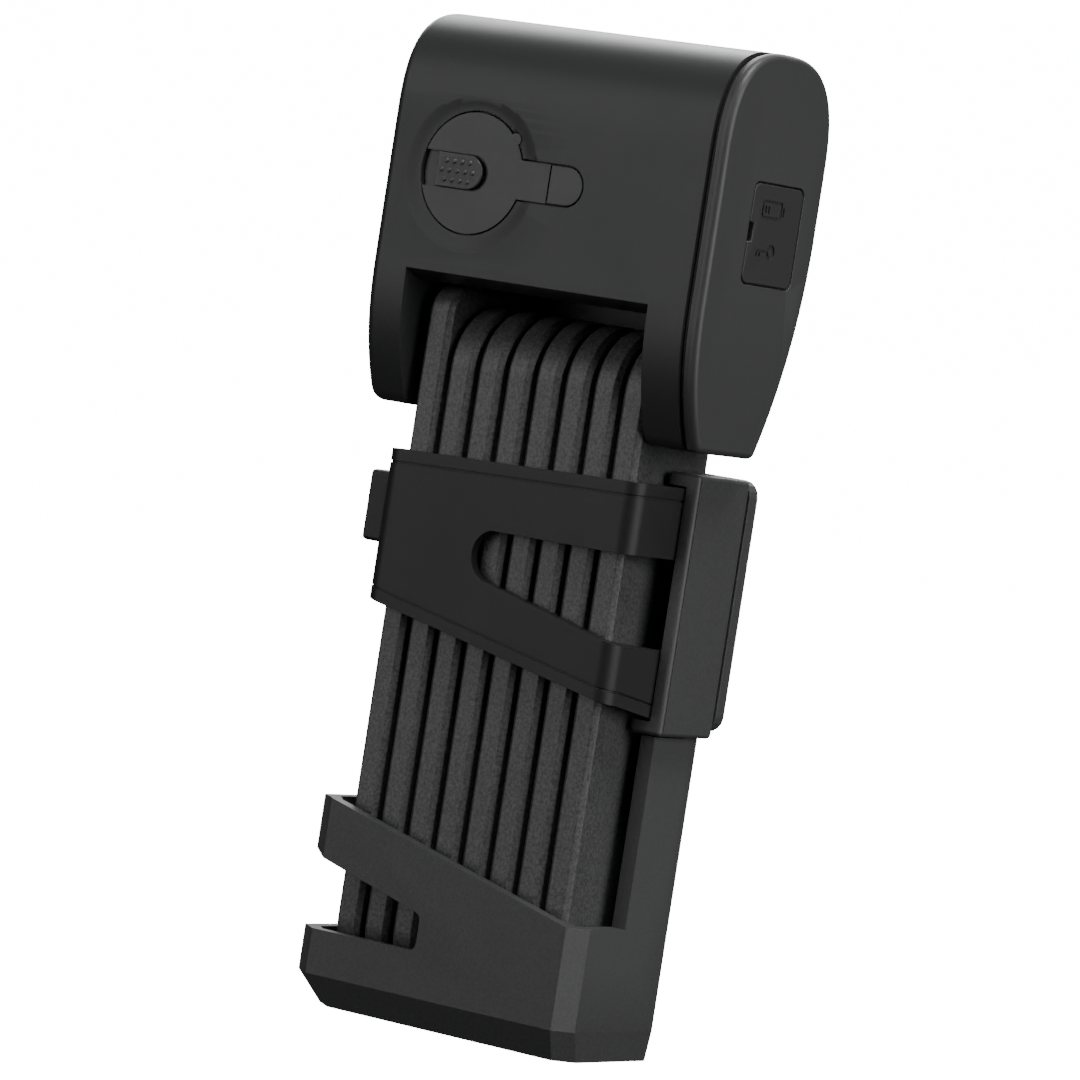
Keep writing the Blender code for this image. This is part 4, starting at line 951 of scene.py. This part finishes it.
def make_shell():
    """The head's shell: crowned top, bar slot, dished front and open right end."""
    far = CAP_RIGHT + THROUGH
    shell = prism("shell", "X", outer_profile(), HEAD_LEFT, far)
    round_edges(shell, HEAD_END_ROUND, segments=6, angle=50)
    apply_modifiers(shell)
    trim = block(
        "trim",
        (HEAD_RIGHT, HEAD_FRONT - THROUGH, HEAD_LOW_Z - THROUGH),
        (far + THROUGH, HEAD_BACK + THROUGH, HEAD_TOP_Z + THROUGH),
    )
    chamber = prism("chamber", "X", chamber_outline(), HEAD_LEFT + HEAD_WALL, far)
    leg_room = block(
        "leg_room",
        (LEG_ROOM_LEFT, BAR_MID_Y - LEG_ROOM_HALF, LEG_ROOM_LOW_Z),
        (far, BAR_MID_Y + LEG_ROOM_HALF, CHAMBER_LOW_Z + THROUGH),
    )
    pivot = (0, BAR_MID_Y, PIN_HIGH_Z)
    pin_bore = round_bar(
        "pin_bore", "X", pivot, HEAD_PIN_LEFT - FIT, SLOT_LEFT + THROUGH, RIVET_RADIUS + FIT
    )
    bolt_bore = round_bar(
        "bolt_bore", "X", pivot, SLOT_RIGHT - THROUGH, LEG_ROOM_LEFT + FIT, LOCK_BOLT_RADIUS + FIT
    )
    cut(shell, trim, *slot_cutters(), chamber, leg_room, pin_bore, bolt_bore)
    cut(shell, dish(), *cover_seat())
    piece(shell, "head_shell", "shell", edge=SHELL_EDGE)


def step_ring():
    """A cutter for the step round the end cap's left part."""
    ring = prism(
        "step", "X", inset_outline(outer_profile(), -THROUGH), CAP_LEFT - THROUGH, STEP_RIGHT
    )
    core = prism(
        "core", "X", inset_outline(outer_profile(), STEP_DEEP), CAP_LEFT - 2 * THROUGH, far_right()
    )
    cut(ring, core)
    return ring


def far_right():
    return CAP_RIGHT + 2 * THROUGH


def make_end_cap():
    """The right end cap, with a step round it, the flap's seat and the two port holes."""
    cap = prism("cap", "X", outer_profile(), CAP_LEFT - THROUGH, CAP_RIGHT)
    round_edges(cap, CAP_BEVEL, segments=5, angle=50)
    apply_modifiers(cap)
    trim = block(
        "cap_trim",
        (CAP_LEFT - 2 * THROUGH, HEAD_FRONT - THROUGH, HEAD_LOW_Z - THROUGH),
        (CAP_LEFT, HEAD_BACK + THROUGH, HEAD_TOP_Z + THROUGH),
    )
    seat_floor = CAP_RIGHT - FLAP_THICK - FIT
    seat = prism("flap_seat", "X", flap_outline(FIT), seat_floor, CAP_RIGHT + THROUGH)
    usb_half = USB_WIDE / 2 + FIT
    usb_rise = USB_TALL / 2 + FIT
    usb_outline = rounded_box(
        PORT_Y - usb_half,
        PORT_Y + usb_half,
        USB_Z - usb_rise,
        USB_Z + usb_rise,
        usb_rise * 0.9,
        steps=10,
    )
    usb_hole = prism("usb_hole", "X", usb_outline, CAP_LEFT - THROUGH, CAP_RIGHT + THROUGH)
    at = (0, PORT_Y, KEY_Z)
    key_hole = round_bar(
        "key_hole", "X", at, CAP_LEFT - THROUGH, CAP_RIGHT + THROUGH, KEY_RADIUS + FIT
    )
    cut(cap, trim, seat, usb_hole, key_hole, step_ring())
    piece(cap, "end_cap", "cap", edge=FINE_EDGE)


def battery_mark():
    """Cutters for a plain battery sign: a frame, its tip and two bars."""
    half = MARK_WIDE / 2
    tall = MARK_WIDE / 4
    reach = (CAP_RIGHT - MARK_DEEP, CAP_RIGHT + THROUGH)
    outer = rounded_box(MARK_Y - half, MARK_Y + half, MARK_HIGH_Z - tall, MARK_HIGH_Z + tall, MARK_LINE)
    frame_cut = prism("sign_frame", "X", outer, *reach)
    inner = rounded_box(
        MARK_Y - half + MARK_LINE,
        MARK_Y + half - MARK_LINE,
        MARK_HIGH_Z - tall + MARK_LINE,
        MARK_HIGH_Z + tall - MARK_LINE,
        MARK_LINE / 2,
    )
    core = prism("sign_core", "X", inner, CAP_RIGHT - THROUGH, CAP_RIGHT + 2 * THROUGH)
    cut(frame_cut, core)
    pieces = [frame_cut]
    for near in (half + MARK_LINE / 2, -half + 2 * MARK_LINE, -half + 4 * MARK_LINE):
        rise = tall / 2 if near > 0 else tall - 2 * MARK_LINE
        pieces.append(
            block(
                "sign_bar",
                (reach[0], MARK_Y + near, MARK_HIGH_Z - rise),
                (reach[1], MARK_Y + near + MARK_LINE, MARK_HIGH_Z + rise),
            )
        )
    return pieces


def key_mark():
    """Cutters for a plain key sign: a ring, a shaft and two teeth."""
    reach = (CAP_RIGHT - MARK_DEEP, CAP_RIGHT + THROUGH)
    bow = MARK_WIDE / 4.6
    at = (0, MARK_Y + bow, MARK_LOW_Z)
    ring = round_bar("sign_ring", "X", at, *reach, bow)
    hole = round_bar("sign_hole", "X", at, CAP_RIGHT - THROUGH, CAP_RIGHT + 2 * THROUGH, bow * 0.45)
    cut(ring, hole)
    end = MARK_Y - MARK_WIDE / 2
    shaft = block(
        "sign_shaft",
        (reach[0], end, MARK_LOW_Z - MARK_LINE / 2),
        (reach[1], MARK_Y + MARK_LINE / 2, MARK_LOW_Z + MARK_LINE / 2),
    )
    pieces = [ring, shaft]
    for near in (end, end + 2 * MARK_LINE):
        pieces.append(
            block(
                "sign_tooth",
                (reach[0], near, MARK_LOW_Z - 2 * MARK_LINE),
                (reach[1], near + MARK_LINE, MARK_LOW_Z),
            )
        )
    return pieces


def make_flap():
    """The rubber flap over the ports, with a finger notch and two plain signs."""
    flap = prism("flap", "X", flap_outline(0.0), CAP_RIGHT - FLAP_THICK, CAP_RIGHT)
    notch = block(
        "notch",
        (CAP_RIGHT - THROUGH, FLAP_FRONT - THROUGH, FLAP_NOTCH_LOW),
        (CAP_RIGHT + THROUGH, FLAP_FRONT + FLAP_NOTCH_DEEP, FLAP_NOTCH_HIGH),
    )
    cut(flap, notch)
    round_edges(flap, 0.22 * MM, segments=3)
    apply_modifiers(flap)
    cut(flap, *battery_mark(), *key_mark())
    piece(flap, "port_flap", "flap")


def make_usb_tongue():
    """The tongue inside the USB socket, with its row of contacts."""
    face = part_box("usb_socket")[1].x
    tongue = block(
        "usb_tongue",
        (face - USB_DEEP, PORT_Y - USB_WIDE * 0.36, USB_Z - TONGUE_TALL / 2),
        (face - USB_DEEP / 8, PORT_Y + USB_WIDE * 0.36, USB_Z + TONGUE_TALL / 2),
    )
    round_edges(tongue, TONGUE_TALL / 5)
    apply_modifiers(tongue)
    for i in range(CONTACT_COUNT):
        y = PORT_Y + (i - (CONTACT_COUNT - 1) / 2) * CONTACT_PITCH
        contact = block(
            "usb_contact",
            (face - USB_DEEP * 0.8, y - CONTACT_PITCH / 4, USB_Z + TONGUE_TALL / 4),
            (face - USB_DEEP / 4, y + CONTACT_PITCH / 4, USB_Z + TONGUE_TALL / 2 + 0.04 * MM),
        )
        add(tongue, contact)
    tongue.data.materials.clear()
    tongue.data.materials.append(LOOKS["nylon"])
    tongue.name = "usb_tongue"
    even_shading(tongue)
    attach(tongue, BODY_OF["usb_socket"])


def make_cover():
    """The front cover's disc and arm, and the fixed end of its tether."""
    outline = cover_outline(COVER_RADIUS, ARM_HALF, ARM_HINGE_X - FIT / 2, False)
    cover = prism("cover", "Y", outline, COVER_FRONT, COVER_BACK)
    add(cover, cover_nub(COVER_FRONT + FIT / 10, COVER_BACK - FIT / 3, NUB_RADIUS - FIT / 2))
    end = SLIDER_TRACK_RIGHT - SLIDER_HALF
    half = SLIDER_HALF + FIT / 2
    track_outline = (
        [(SLIDER_TRACK_LEFT, COVER_Z - half)]
        + arc(end, COVER_Z, half, -90, 90, 24)
        + [(SLIDER_TRACK_LEFT, COVER_Z + half)]
    )
    cut(cover, prism("track", "Y", track_outline, COVER_FRONT - THROUGH, SLIDER_BACK + FIT))
    piece(cover, "sensor_cover", "cover", edge=0.18 * MM)
    tether_outline = (
        [(ARM_HINGE_X + FIT / 2, COVER_Z - ARM_HALF)]
        + arc(TETHER_RIGHT - ARM_HALF, COVER_Z, ARM_HALF, -90, 90, 24)
        + [(ARM_HINGE_X + FIT / 2, COVER_Z + ARM_HALF)]
    )
    tether = prism("tether", "Y", tether_outline, TETHER_FRONT, COVER_BACK)
    piece(tether, "cover_tether", "cover", edge=0.2 * MM)


def make_slider():
    """The cover's slider, with thirteen grip nubs in three staggered rows."""
    outline = (
        [(SLIDER_LEFT, COVER_Z - SLIDER_HALF)]
        + arc(SLIDER_RIGHT - SLIDER_HALF, COVER_Z, SLIDER_HALF, -90, 90, 24)
        + [(SLIDER_LEFT, COVER_Z + SLIDER_HALF)]
    )
    slider = prism("slider", "Y", outline, SLIDER_FRONT, SLIDER_BACK)
    round_edges(slider, 0.2 * MM, segments=3)
    apply_modifiers(slider)
    middle = (SLIDER_LEFT + SLIDER_RIGHT) / 2 - NUB_SHIFT
    for row, count in ((1, 4), (0, 5), (-1, 4)):
        for i in range(count):
            x = middle + (i - (count - 1) / 2) * GRIP_PITCH
            at = (x, 0, COVER_Z + row * GRIP_PITCH)
            ring = round_bar(
                "grip",
                "Y",
                at,
                SLIDER_FRONT - GRIP_PROUD,
                SLIDER_FRONT + GRIP_RADIUS,
                GRIP_RADIUS * 0.6,
                GRIP_RADIUS * 1.6,
                steps=14,
            )
            add(slider, ring)
    piece(slider, "cover_slider", "nylon")


def soften(node, edge):
    """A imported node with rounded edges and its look."""
    target = frame["nodes"][node]
    weld = target.modifiers.new("weld", "WELD")
    weld.merge_threshold = 0.01 * MM
    flat = target.modifiers.new("flat", "DECIMATE")
    flat.decimate_type = "DISSOLVE"
    flat.angle_limit = math.radians(1)
    round_edges(target, edge, segments=3)
    even_shading(target)
    target.data.materials.clear()
    target.data.materials.append(LOOKS[SLOT_OF[node]])


def make_stage():
    """A wide pale floor under the sole."""
    bm = bmesh.new()
    bmesh.ops.create_circle(bm, cap_ends=True, segments=96, radius=FLOOR_RADIUS)
    bmesh.ops.translate(bm, vec=(0, 0, -0.2 * MM), verts=bm.verts)
    floor = from_bmesh(bm, "floor")
    paint = bpy.data.materials.new("floor_paper")
    paint.use_nodes = True
    tree = paint.node_tree
    shader = tree.nodes["Principled BSDF"]
    where = add_node(tree, "TexCoord", (-800, 0)).outputs["Object"]
    grain = noise(tree, where, 40 * MM, 2.0, (-600, 0))
    share = spread(tree, grain, 0.3, 0.7, 0.0, 1.0, (-400, 0))
    colour = blended(tree, share, (0.93, 0.93, 0.93), (0.95, 0.95, 0.95), (-200, 0))
    tree.links.new(colour, shader.inputs["Base Color"])
    shader.inputs["Roughness"].default_value = 0.9
    shader.inputs["Emission Color"].default_value = (1.0, 1.0, 1.0, 1.0)
    shader.inputs["Emission Strength"].default_value = FLOOR_GLOW
    floor.data.materials.append(paint)
    floor.visible_diffuse = False
    floor.visible_glossy = False


def make_camera():
    """A long lens at the front right, a little above the middle, leaning with the object."""
    data = bpy.data.cameras.new("camera")
    data.lens = CAMERA_LENS
    data.sensor_width = CAMERA_SENSOR
    data.clip_end = 100.0
    camera = bpy.data.objects.new("camera", data)
    bpy.context.scene.collection.objects.link(camera)
    turn = math.radians(CAMERA_AZIMUTH)
    tilt = math.radians(CAMERA_ELEVATION)
    back = Vector(
        (math.sin(turn) * math.cos(tilt), -math.cos(turn) * math.cos(tilt), math.sin(tilt))
    )
    spin = Matrix.Rotation(math.radians(CAMERA_ROLL), 4, "Z")
    place = Matrix.Translation(Vector(CAMERA_AIM) + back * CAMERA_DISTANCE)
    look = back.to_track_quat("Z", "Y").to_matrix().to_4x4()
    camera.matrix_world = place @ look @ spin
    bpy.context.scene.camera = camera


def add_softbox(name, azimuth, elevation, distance, size, power):
    """A square area light that faces the object from a direction in degrees."""
    data = bpy.data.lights.new(name, "AREA")
    data.shape = "RECTANGLE"
    data.size, data.size_y = size
    data.energy = power
    lamp = bpy.data.objects.new(name, data)
    bpy.context.scene.collection.objects.link(lamp)
    turn, tilt = math.radians(azimuth), math.radians(elevation)
    back = Vector(
        (math.sin(turn) * math.cos(tilt), -math.cos(turn) * math.cos(tilt), math.sin(tilt))
    )
    middle = (CAD_BOX[0] + CAD_BOX[1]) / 2
    lamp.matrix_world = Matrix.Translation(middle + back * distance) @ back.to_track_quat(
        "Z", "Y"
    ).to_matrix().to_4x4()


def make_world():
    """White to the camera, and dim on the object, so that the softboxes shape it."""
    world = bpy.data.worlds.new("studio")
    bpy.context.scene.world = world
    world.use_nodes = True
    tree = world.node_tree
    backdrop = tree.nodes["Background"]
    backdrop.inputs["Color"].default_value = (1.0, 1.0, 1.0, 1.0)
    backdrop.inputs["Strength"].default_value = BACKDROP
    dim = add_node(tree, "Background", (0, -200))
    dim.inputs["Color"].default_value = (1.0, 1.0, 1.0, 1.0)
    dim.inputs["Strength"].default_value = AMBIENT
    path = add_node(tree, "LightPath", (-200, 200))
    mixed = add_node(tree, "MixShader", (200, 0))
    tree.links.new(path.outputs["Is Camera Ray"], mixed.inputs["Fac"])
    tree.links.new(dim.outputs["Background"], mixed.inputs[1])
    tree.links.new(backdrop.outputs["Background"], mixed.inputs[2])
    tree.links.new(mixed.outputs["Shader"], tree.nodes["World Output"].inputs["Surface"])


for number in range(1, BAR_COUNT + 1):
    make_bar(number)
make_block()
make_strap()
make_shell()
make_end_cap()
make_flap()
make_usb_tongue()
make_cover()
make_slider()
for node, edge in SOFT_EDGES.items():
    soften(node, edge)

make_stage()
make_camera()
make_world()
for softbox in SOFTBOXES:
    add_softbox(*softbox)
